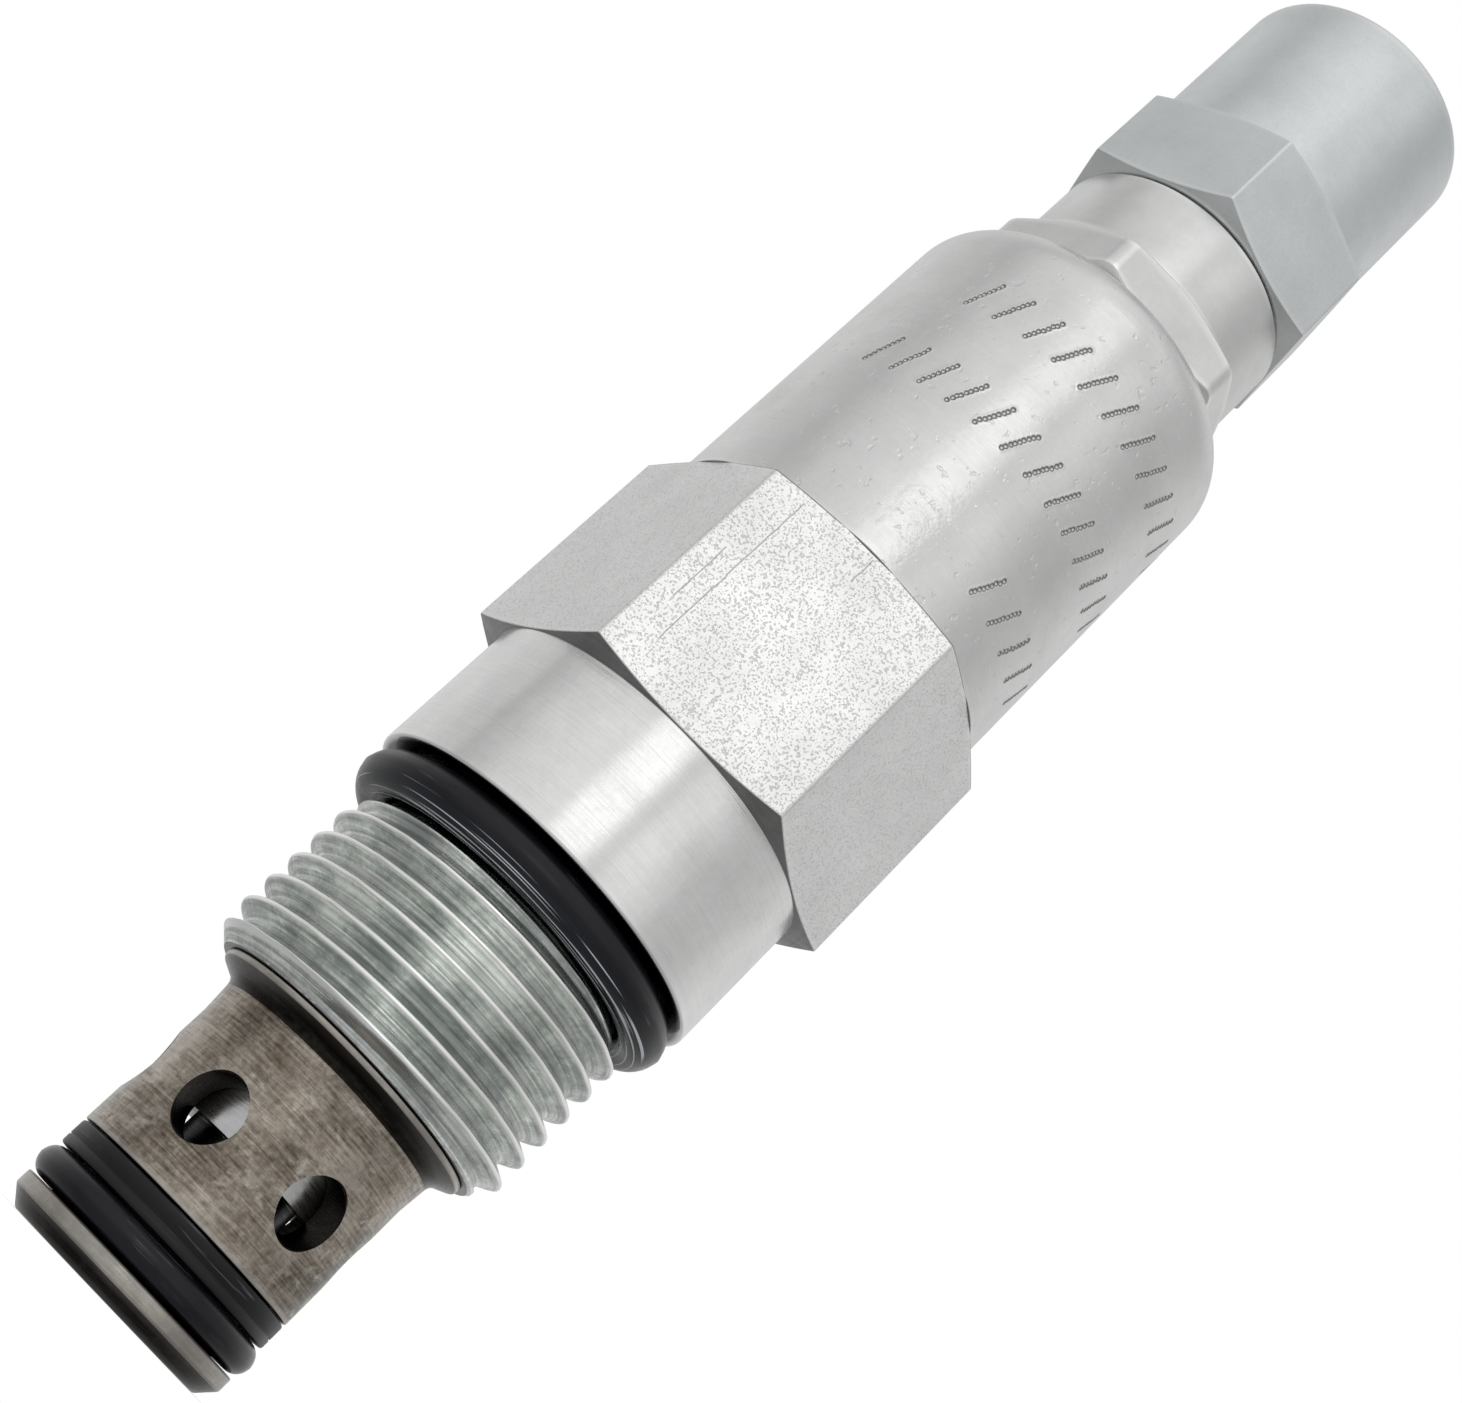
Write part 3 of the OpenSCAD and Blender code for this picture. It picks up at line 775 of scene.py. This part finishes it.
# darker copies of the cage steel, painted shade: the nose rim a little darker; the nose's end and chamfer,
# the seal groove, the cove under the flange, the bore and the ports' walls near black
CAGE_RIM_PAINTED_SHADE = heat_treated("cage_steel_rim_painted_shade", shade=0.6, wear_and_highlight=0.5)
CAGE_PAINTED_SHADE = heat_treated("cage_steel_painted_shade", shade=0.07, wear_and_highlight=0.12)
HOLE_PAINTED_SHADE = heat_treated("cage_bore_painted_shade", shade=0.10, wear_and_highlight=0.0)
NITRILE = rubber("nitrile_rubber")
# the port O-ring's underside gets a painted sheen with bright arcs of painted highlight
NITRILE_PAINTED_SHEEN = rubber("nitrile_rubber_painted_sheen", sheen_below=-2.3)
BACKUP = rubber("backup_black", (0.005, 0.005, 0.006), (0.32, 0.46))
GROUND = zinc(
    "ground_steel",
    light=(0.62, 0.62, 0.63),
    dark=(0.42, 0.42, 0.43),
    rough=(0.12, 0.25),
    turned=0.3,
    stain_amount=0.1,
)
SPRING = zinc(
    "spring_steel",
    light=(0.30, 0.31, 0.33),
    dark=(0.15, 0.15, 0.17),
    rough=(0.25, 0.4),
    turned=0.1,
    anisotropy=0.0,
)
FASTENER = zinc(
    "fastener_zinc",
    light=(0.70, 0.70, 0.67),
    dark=(0.48, 0.48, 0.46),
    rough=(0.2, 0.34),
    turned=0.3,
)


# ---------------------------------------------------------------- body, with its peened marks

# rows of slanted strokes: height, first angle, step between strokes and their number
MARK_ROWS = (
    (44.0, -128, 10.5, 12),
    (37.0, -139, 10.0, 13),
    (29.3, -66, 11.0, 5),
)
# a stroke's height, its dots, and half of how far it leans over
MARK_HEIGHT = 2.4
MARK_DOTS = 9
MARK_LEAN = 0.55
# a dot's radius and depth, and the height of the burr round it
DOT = 0.15
DOT_DEPTH = 0.09
DOT_BURR = 0.02


def peened_dots():
    """Where every dot lies: strokes that all lean the same way, as on a generic batch mark."""
    random = np.random.default_rng(7)
    dots = []
    for low, first, step, strokes in MARK_ROWS:
        for k in range(strokes):
            for d in range(MARK_DOTS):
                share = d / (MARK_DOTS - 1)
                shake = random.normal(0, 0.025, 2)
                arc = math.radians(first + k * step) + (2 * MARK_LEAN * share + shake[0]) / BARREL_R
                level = low + MARK_HEIGHT * share + shake[1]
                dots.append(Vector((BARREL_R * math.cos(arc), BARREL_R * math.sin(arc), level)))
    return dots


def peen(mesh):
    """Splits the barrel's faces round the dots until they are fine enough, then presses the dots in."""
    dots = peened_dots()
    tree = KDTree(len(dots))
    for k, dot in enumerate(dots):
        tree.insert(dot * MM, k)
    tree.balance()
    bm = bmesh.new()
    bm.from_mesh(mesh)
    skin = 0.03

    def outside(spot):
        on_wall = abs(math.hypot(spot.x, spot.y) / MM - BARREL_R) < skin
        return on_wall and HEX_Z + 0.3 < spot.z / MM < SHOULDER_Z

    for reach in (0.85, 0.52, 0.37, 0.28):
        edges = set()
        for face in bm.faces:
            centre = face.calc_center_median()
            if outside(centre) and tree.find(centre)[2] < reach * MM:
                edges.update(face.edges)
        bmesh.ops.subdivide_edges(bm, edges=list(edges), cuts=1, use_grid_fill=True)
    mark = bm.verts.layers.float.new("mark")
    for vert in bm.verts:
        if not outside(vert.co):
            continue
        near = tree.find_range(vert.co, 3 * DOT * MM)
        radius = BARREL_R
        if near:
            far = [distance / MM / DOT for _, _, distance in near]
            radius -= DOT_DEPTH * sum(math.exp(-(f**2)) for f in far)
            radius += DOT_BURR * math.exp(-(((min(far) - 1.5) / 0.5) ** 2))
            vert[mark] = 0.9 * math.exp(-(((min(far) - 0.95) / 0.35) ** 2))
        grown = radius * MM / math.hypot(vert.co.x, vert.co.y)
        vert.co.x *= grown
        vert.co.y *= grown
    for face in bm.faces:
        face.smooth = True
    bm.to_mesh(mesh)
    bm.free()


def stand_in(piece, node, rides_on="valve_body"):
    """Makes a piece ride on a body and stand for a CAD node."""
    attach(piece, rides_on)
    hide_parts(node)
    return piece


def body():
    """Port thread, neck painted near black as shade and a reflection of the O-ring, collar, hexagon and
    marked barrel, in one turned piece.
    """
    angles = columns(1.5, corners=hex_corners(HEX_TURN))
    flats = hexagon(angles, BODY_FLATS, HEX_TURN)
    rise = (flats - COLLAR_R) * math.tan(math.radians(15))
    waves = np.random.default_rng(3).uniform(0, FULL, 6)

    def burr(turn, crest):
        wobble = sum(np.sin((3 + 4 * k) * turn + waves[k]) for k in range(6))
        return 0.012 * wobble * crest

    port_thread = thread(
        THREAD_LOW_Z,
        NECK_LOW_Z,
        major=22.225,
        minor=20.0,
        pitch=1.8143,
        crest=-9.7,
        envelope=thread_ends(9.95, 1.66, THREAD_LOW_Z, NECK_LOW_Z, lead_in=1.5, run_out=0.9),
        material=THREAD_ZINC,
        burr=burr,
    )
    wall_z = HEX_Z - 0.05
    wall = heights(wall_z, SHOULDER_Z, np.arange(HEX_Z + 0.35, SHOULDER_Z, 0.4))
    bonnet_seat_z = BONNET_LOW_Z - 0.1
    cage_seat_z = CAGE_TOP_Z + 0.2
    # the chamfers round the hexagon and at the bore's mouth are painted dark as shade
    outline = [
        corner(CAGE_FIT_R, THREAD_LOW_Z, 0.1, SHADED_CHAMFER_ZINC),
        port_thread,
        corner(NECK_R, NECK_LOW_Z, 0.15, NECK_PAINTED_SHADE),
        corner(NECK_R, 0.0, 0.15, NECK_PAINTED_SHADE),
        corner(COLLAR_R, 0.0, 0.22, COLLAR_ZINC),
        corner(COLLAR_R, COLLAR_Z, 0.06, SHADED_CHAMFER_ZINC),
        corner(flats, COLLAR_Z + rise, 0.08, HEX_ZINC),
        corner(flats, HEX_Z - rise, 0.12, SHADED_CHAMFER_ZINC),
        corner(BARREL_R, wall_z, 0.08, BARREL_ZINC, steps=wall, support=0),
        *quarter(BARREL_R, BARREL_Z, BARREL_Z - SHOULDER_Z, BARREL_ZINC),
        corner(BONNET_FIT_R, BARREL_Z, 0.2, BORE_STEEL),
        corner(BONNET_FIT_R, bonnet_seat_z, 0.0, BORE_STEEL),
        corner(SPRING_BORE_R, bonnet_seat_z, 0.1, BORE_STEEL),
        corner(SPRING_BORE_R, cage_seat_z, 0.0, BORE_STEEL),
        corner(CAGE_FIT_R, cage_seat_z, 0.0, BORE_STEEL),
    ]
    materials = [THREAD_ZINC, NECK_PAINTED_SHADE, COLLAR_ZINC, HEX_ZINC, BARREL_ZINC, BORE_STEEL, SHADED_CHAMFER_ZINC]
    piece = revolve("valve_body", outline, angles, materials)
    peen(piece.data)
    # the barrel's vertices lie on its wall, and keep their own normals
    below = [v.index for v in piece.data.vertices if v.co.z < (HEX_Z - 0.2) * MM]
    piece.vertex_groups.new(name="below_barrel").add(below, 1.0, "REPLACE")
    piece.modifiers["normals"].vertex_group = "below_barrel"
    return stand_in(piece, "body")


# ---------------------------------------------------------------- cage and seals


def port_cutter():
    """Six radial drills with a small countersink, as one mesh."""
    bm = bmesh.new()
    sides = 64
    # how far out each ring of a drill lies, and its radius
    profile = [(4.0, PORT_R), (7.75, PORT_R), (8.3, PORT_EDGE_R)]
    for k in range(6):
        turn = Matrix.Rotation(math.radians(PORT_TURN + 60 * k), 3, "Z")
        rings = []
        for out, r in profile:
            ring = []
            for j in range(sides):
                a = FULL * j / sides
                spot = Vector((out, r * math.cos(a), PORT_Z + r * math.sin(a))) * MM
                ring.append(bm.verts.new(turn @ spot))
            rings.append(ring)
        for low, high in zip(rings, rings[1:]):
            for j in range(sides):
                beside = (j + 1) % sides
                face = bm.faces.new((low[j], low[beside], high[beside], high[j]))
                face.material_index = int(high is rings[-1])
        bm.faces.new(rings[0][::-1])
        bm.faces.new(rings[-1])
    bmesh.ops.recalc_face_normals(bm, faces=bm.faces)
    mesh = bpy.data.meshes.new("port_cutter")
    bm.to_mesh(mesh)
    bm.free()
    # the drills' walls are painted near black as shade
    mesh.materials.append(HOLE_PAINTED_SHADE)
    mesh.materials.append(CAGE_STEEL)
    return add_object("port_cutter", mesh)


def drill_ports(piece):
    """Cuts the side ports before the normals are weighted."""
    cutter = port_cutter()
    cut = piece.modifiers.new("ports", "BOOLEAN")
    cut.object = cutter
    cut.operation = "DIFFERENCE"
    cut.solver = "EXACT"
    cut.material_mode = "TRANSFER"
    while piece.modifiers.find("ports") > 0:
        with bpy.context.temp_override(object=piece):
            bpy.ops.object.modifier_move_up(modifier="ports")
    with bpy.context.temp_override(object=piece, active_object=piece):
        bpy.ops.object.modifier_apply(modifier="ports")
    bpy.data.objects.remove(cutter)


def cage():
    """Nose sleeve with its seal groove, side ports and flared flange."""
    groove_r, inlet_r, bore_r = 6.25, 4.8, 5.6
    groove_low_z, groove_high_z = -30.7, -26.8
    flange_z = -14.95
    wall = heights(groove_high_z, -18.5, np.arange(-26.4, -18.6, 0.8))
    # the nose's end and chamfer, the seal groove, the cove under the flange and the flange's top are painted
    # dark as shade, the nose rim a little darker, and the bore near black
    outline = [
        corner(inlet_r, NOSE_Z, 0.35, CAGE_PAINTED_SHADE),
        corner(NOSE_R - 0.95, NOSE_Z, 0.4, CAGE_PAINTED_SHADE, arc=6),
        corner(NOSE_R, NOSE_Z + 1.0, 0.25, CAGE_RIM_PAINTED_SHADE),
        corner(NOSE_R, groove_low_z, 0.12, CAGE_PAINTED_SHADE),
        corner(groove_r, groove_low_z, 0.15, CAGE_PAINTED_SHADE),
        corner(groove_r, groove_high_z, 0.15, CAGE_PAINTED_SHADE),
        corner(NOSE_R, groove_high_z, 0.12, CAGE_STEEL, steps=wall),
        corner(NOSE_R, -18.2, 0.9, CAGE_STEEL, arc=6, edge=0),
        corner(8.15, -15.9, 0.9, CAGE_PAINTED_SHADE, arc=8, edge=0),
        corner(9.45, -15.3, 0.12, CAGE_STEEL),
        corner(9.5, flange_z, 0.05, CAGE_PAINTED_SHADE),
        corner(7.5, flange_z, 0.0, HOLE_PAINTED_SHADE),
        corner(7.5, CAGE_TOP_Z, 0.1, HOLE_PAINTED_SHADE),
        corner(bore_r, CAGE_TOP_Z, 0.1, HOLE_PAINTED_SHADE, steps=(0.3, 0.6)),
        corner(bore_r, -26.1, 0.0, HOLE_PAINTED_SHADE),
        corner(inlet_r, -26.1, 0.1, HOLE_PAINTED_SHADE),
    ]
    piece = revolve("nose_cage", outline, columns(2.0), [CAGE_STEEL, CAGE_PAINTED_SHADE, HOLE_PAINTED_SHADE, CAGE_RIM_PAINTED_SHADE])
    drill_ports(piece)
    return stand_in(piece, "cage")


def seal_ring(name, node, material, inner, section, z, flash):
    """An O-ring with a faint moulding line round its outer edge, flash high and broken by nicks."""
    angles = columns(1.0)
    middle = (inner + section) / 2
    count = 40
    random = np.random.default_rng(11)
    nick = np.zeros(len(angles))
    for _ in range(26):
        swing = np.mod(angles - random.uniform(0, FULL) + math.pi, FULL) - math.pi
        nick += random.uniform(-1, 1) * np.exp(-((swing / random.uniform(0.01, 0.04)) ** 2))
    outline = []
    for k in range(count):
        a = FULL * k / count
        ridge = flash * math.exp(-((((a + math.pi) % FULL) - math.pi) ** 2) / 0.012)
        r = section / 2 + ridge * (1 + nick)
        outline.append(corner(middle + r * math.cos(a), z + r * math.sin(a), support=0))
    piece = revolve(name, outline, angles, [material])
    return stand_in(piece, node)


def backup_ring():
    """Flat ring with a fine groove round its middle."""
    inner, outer = 6.27, 7.92
    outline = [
        corner(inner, BACKUP_LOW_Z, 0.1),
        corner(outer, BACKUP_LOW_Z, 0.2),
        corner(outer, -27.98),
        corner(outer - 0.1, -27.92),
        corner(outer, -27.86),
        corner(outer, BACKUP_TOP_Z, 0.2),
        corner(inner, BACKUP_TOP_Z, 0.1),
    ]
    piece = revolve("nose_backup", outline, columns(2.0), [BACKUP])
    return stand_in(piece, "nose_backup_ring")


# ---------------------------------------------------------------- bonnet and cap


def bonnet():
    """Hexagon with turned-down corners, round part and threaded spigot, with the sealed bore inside."""
    angles = columns(1.5, corners=hex_corners(BONNET_TURN), reach=5.0)
    flats = hexagon(angles, BONNET_FLATS, BONNET_TURN, edge=1.4)
    face_r, plug_r = 9.5, 8.0
    rise = (flats - face_r) * math.tan(math.radians(25))
    groove_r, groove_low_z, groove_high_z = 6.6, 48.6, 50.6
    cap_thread = thread(
        BONNET_Z,
        SPIGOT_Z,
        major=15.0,
        minor=13.78,
        pitch=1.0,
        crest=65.1,
        envelope=thread_ends(6.84, 1.16, BONNET_Z, SPIGOT_Z, lead_in=1.3, run_out=0.9),
        material=THREAD_ZINC,
    )
    outline = [
        corner(SCREW_BORE_R, BONNET_LOW_Z, 0.0, BORE_STEEL),
        corner(plug_r, BONNET_LOW_Z, 0.15, BORE_STEEL),
        corner(plug_r, groove_low_z, 0.0, BORE_STEEL),
        corner(groove_r, groove_low_z, 0.0, BORE_STEEL),
        corner(groove_r, groove_high_z, 0.0, BORE_STEEL),
        corner(plug_r, groove_high_z, 0.0, BORE_STEEL),
        corner(plug_r, BARREL_Z, 0.0, BONNET_ZINC),
        corner(face_r, BARREL_Z, 0.05, BONNET_ZINC),
        corner(flats, BARREL_Z + rise, 0.25, BONNET_ZINC),
        corner(flats, BONNET_HEX_Z - rise, 0.25, BONNET_ZINC),
        corner(face_r, BONNET_HEX_Z, 0.1, BONNET_ZINC),
        corner(BONNET_R, BONNET_HEX_Z + 0.1, 0.05, BONNET_ZINC),
        corner(BONNET_R, BONNET_Z - 0.3, 0.1, BONNET_ZINC),
        corner(BONNET_R - 0.3, BONNET_Z, 0.1, BONNET_ZINC),
        cap_thread,
        corner(SCREW_BORE_R, SPIGOT_Z, 0.2, BORE_STEEL),
    ]
    piece = revolve("bonnet", outline, angles, [BONNET_ZINC, THREAD_ZINC, BORE_STEEL])
    return stand_in(piece, "bonnet")


def cap():
    """Hexagon with a closed round end, hollow inside."""
    angles = columns(1.5, corners=hex_corners(CAP_TURN))
    flats = hexagon(angles, BONNET_FLATS, CAP_TURN)
    face_r = 9.375
    rise = (flats - face_r) * math.tan(math.radians(20))
    seal_r, thread_r, hollow_r = 8.6, 7.65, 8.0
    seal_z, thread_z, roof_z = 64.5, 69.9, 82.9
    # the lower chamfer and the underside are painted darker as shade
    outline = [
        corner(0.0, CAP_Z, 0.0, CAP_ZINC, steps=(0.3, 0.6, 0.85)),
        corner(CAP_R, CAP_Z, 0.5, CAP_ZINC, arc=8),
        corner(CAP_R, CAP_HEX_Z, 0.06, CAP_ZINC),
        corner(flats, CAP_HEX_Z - rise, 0.12, CAP_ZINC),
        corner(flats, CAP_LOW_Z + rise, 0.12, SHADED_CAP_CHAMFER),
        corner(face_r, CAP_LOW_Z, 0.08, SHADED_CAP_CHAMFER),
        corner(seal_r, CAP_LOW_Z, 0.1, BORE_STEEL),
        corner(seal_r, seal_z, 0.0, BORE_STEEL),
        corner(thread_r, seal_z, 0.1, BORE_STEEL),
        corner(thread_r, thread_z, 0.0, BORE_STEEL),
        corner(hollow_r, thread_z, 0.0, BORE_STEEL),
        corner(hollow_r, roof_z, 0.5, BORE_STEEL),
        corner(0.0, roof_z, 0.0, BORE_STEEL),
    ]
    piece = revolve("cap", outline, angles, [CAP_ZINC, BORE_STEEL, SHADED_CAP_CHAMFER], closed=False)
    return stand_in(piece, "cap", "cap")


# ---------------------------------------------------------------- main spring

COIL_R = 5.1
WIRE_R = 1.2
COIL_TURNS = 7
COIL_LOW_Z, COIL_TOP_Z = span("main_spring")
COIL_RISE = round(COIL_TOP_Z - COIL_LOW_Z - 2 * WIRE_R, 3)
CLOSED_PITCH = 2.5
OPEN_PITCH = (COIL_RISE - 2 * CLOSED_PITCH) / (COIL_TURNS - 2)
SPLIT_TURN = 2.5


def coil_height(turn):
    """Height of the wire's middle after so many turns: a closed coil at either end, open ones between."""
    if turn < 1:
        climbed = turn * CLOSED_PITCH
    elif turn < COIL_TURNS - 1:
        climbed = CLOSED_PITCH + (turn - 1) * OPEN_PITCH
    else:
        climbed = COIL_RISE - (COIL_TURNS - turn) * CLOSED_PITCH
    return COIL_LOW_Z + WIRE_R + climbed


def spring_part(name, first, last):
    """Part of the main spring, from turn first to turn last."""
    rings = round((last - first) * 40)
    sides = 20
    verts = []
    for k in range(rings + 1):
        turn = first + (last - first) * k / rings
        z = coil_height(turn)
        for j in range(sides):
            a = FULL * j / sides
            r = COIL_R + WIRE_R * math.cos(a)
            spot = Vector((r * math.cos(FULL * turn), r * math.sin(FULL * turn), z + WIRE_R * math.sin(a)))
            verts.append(spot * MM)
    faces = []
    for k in range(rings):
        for j in range(sides):
            here, beside = k * sides + j, k * sides + (j + 1) % sides
            faces.append((here, beside, beside + sides, here + sides))
    faces.append(tuple(range(sides))[::-1])
    faces.append(tuple(rings * sides + j for j in range(sides)))
    mesh = bpy.data.meshes.new(name)
    mesh.from_pydata(verts, [], faces)
    mesh.shade_smooth()
    piece = finish_mesh(name, mesh, [SPRING])
    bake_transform(piece)
    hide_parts("main_spring")


# ---------------------------------------------------------------- the valve

body()
cage()
spring_part("main_spring_low", 0, SPLIT_TURN)
spring_part("main_spring_high", SPLIT_TURN, COIL_TURNS)
seal_ring("nose_seal", "nose_o_ring", NITRILE, inner=12.52, section=1.98, z=-29.62, flash=0.02)
seal_ring("port_seal", "port_o_ring", NITRILE_PAINTED_SHEEN, inner=19.04, section=2.9, z=-1.65, flash=0.05)
backup_ring()
bonnet()
cap()

# the other pieces keep their CAD shapes
CAD_LOOKS = {
    "poppet": poppet_steel(),
    "lower_spring_seat": GROUND,
    "spring_shim": GROUND,
    "spring_plug": GROUND,
    "plug_o_ring": NITRILE,
    "plug_backup_ring": BACKUP,
    "adjusting_screw": FASTENER,
    "retaining_ring": SPRING,
    "bonnet_o_ring": NITRILE,
    "lock_washer": FASTENER,
    "lock_washer_seal": NITRILE,
    "lock_nut": FASTENER,
    "cap_seal": NITRILE,
}
for name, material in CAD_LOOKS.items():
    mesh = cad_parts[name].data
    mesh.materials.clear()
    mesh.materials.append(material)

# ---------------------------------------------------------------- floor, light and camera

# reflected brightness of the studio at angles from the viewer's side toward +X
STUDIO_LEVELS = (
    (-180, 0.72),
    (-150, 0.76),
    (-126, 0.80),
    (-104, 0.68),
    (-90, 0.50),
    (-76, 0.66),
    (-60, 0.83),
    (-30, 0.95),
    (-8, 0.93),
    (7, 0.93),
    (14, 0.72),
    (21, 0.94),
    (32, 0.94),
    (46, 0.78),
    (62, 0.61),
    (78, 0.58),
    (94, 0.62),
    (108, 0.72),
    (126, 0.79),
    (150, 0.74),
)

LENS = 53.9
CAMERA_PLACE = (0, -0.1279, -0.0320)
# where the camera looks from: degrees from -Y toward +X, degrees above level, and its own roll
CAMERA_SIDE = 0.161
CAMERA_RISE = -21.480
CAMERA_ROLL = 46.388


def floor():
    """White floor just under the nose. The camera sees it, but it isn't reflected and lights nothing."""
    s = Shader("floor_white")
    tone = s.noise(s.place, 6, 3, 0.5)
    s.set(
        Base_Color=s.ramp(tone, (0.3, 0.90), (0.7, 0.93)),
        Roughness=0.9,
        Emission_Color=(1, 1, 1, 1),
        Emission_Strength=0.5,
    )
    bm = bmesh.new()
    bmesh.ops.create_circle(bm, cap_ends=True, segments=96, radius=2.5)
    mesh = bpy.data.meshes.new("floor")
    bm.to_mesh(mesh)
    bm.free()
    mesh.materials.append(s.material)
    ground = add_object("floor", mesh)
    ground.location.z = (NOSE_Z - 0.01) * MM
    ground.visible_glossy = False
    ground.visible_diffuse = False


def studio():
    """White surroundings for the camera. Reflections see a soft studio that is darker to either side."""
    scene = bpy.context.scene
    world = bpy.data.worlds.new("studio")
    scene.world = world
    world.use_nodes = True
    tree = world.node_tree
    tree.nodes.clear()
    add, link = tree.nodes.new, tree.links.new
    output = add("ShaderNodeOutputWorld")
    place = add("ShaderNodeTexCoord")
    turn = add("ShaderNodeTexGradient")
    turn.gradient_type = "RADIAL"
    link(place.outputs["Generated"], turn.inputs["Vector"])
    ring = add("ShaderNodeValToRGB")
    band = ring.color_ramp
    band.interpolation = "EASE"
    stops = sorted(((0.25 + angle / 360) % 1.0, level) for angle, level in STUDIO_LEVELS)
    while len(band.elements) < len(stops):
        band.elements.new(0.5)
    for element, (position, level) in zip(band.elements, stops):
        element.position = position
        element.color = (level, level, level, 1)
    link(turn.outputs["Fac"], ring.inputs["Fac"])
    parts = add("ShaderNodeSeparateXYZ")
    link(place.outputs["Generated"], parts.inputs[0])
    fall = add("ShaderNodeMapRange")
    for socket, value in (("From Min", -0.35), ("From Max", 0.05), ("To Min", 0.60), ("To Max", 1.0)):
        fall.inputs[socket].default_value = value
    link(parts.outputs["Z"], fall.inputs["Value"])
    room = add("ShaderNodeBackground")
    link(ring.outputs["Color"], room.inputs["Color"])
    link(fall.outputs["Result"], room.inputs["Strength"])
    white = add("ShaderNodeBackground")
    white.inputs["Color"].default_value = (1, 1, 1, 1)
    path = add("ShaderNodeLightPath")
    choose = add("ShaderNodeMixShader")
    link(path.outputs["Is Camera Ray"], choose.inputs["Fac"])
    link(room.outputs[0], choose.inputs[1])
    link(white.outputs[0], choose.inputs[2])
    link(choose.outputs[0], output.inputs["Surface"])
    scene.view_settings.view_transform = "Standard"


def softbox(name, place, target, size, power):
    """A square light at place that faces target, in metres."""
    light = bpy.data.lights.new(name, "AREA")
    light.size = size
    light.energy = power
    lamp = add_object(name, light)
    lamp.location = place
    aim = Vector(target) - Vector(place)
    lamp.rotation_euler = aim.to_track_quat("-Z", "Y").to_euler()


def camera():
    """Seen from below and in front of the nose, rolled so that the axis climbs to the upper right."""
    data = bpy.data.cameras.new("camera")
    data.lens = LENS
    data.shift_y = -0.006
    data.sensor_width = 36
    data.sensor_fit = "HORIZONTAL"
    data.clip_start = 0.01
    view = add_object("camera", data)
    side = Matrix.Rotation(math.radians(CAMERA_SIDE), 4, "Z")
    rise = Matrix.Rotation(math.radians(90 - CAMERA_RISE), 4, "X")
    roll = Matrix.Rotation(math.radians(CAMERA_ROLL), 4, "Z")
    view.matrix_world = Matrix.Translation(CAMERA_PLACE) @ side @ rise @ roll
    bpy.context.scene.camera = view


floor()
studio()
softbox("key", place=(-0.09, -0.84, 0.36), target=(0, 0, 0.02), size=0.36, power=0.3)
camera()
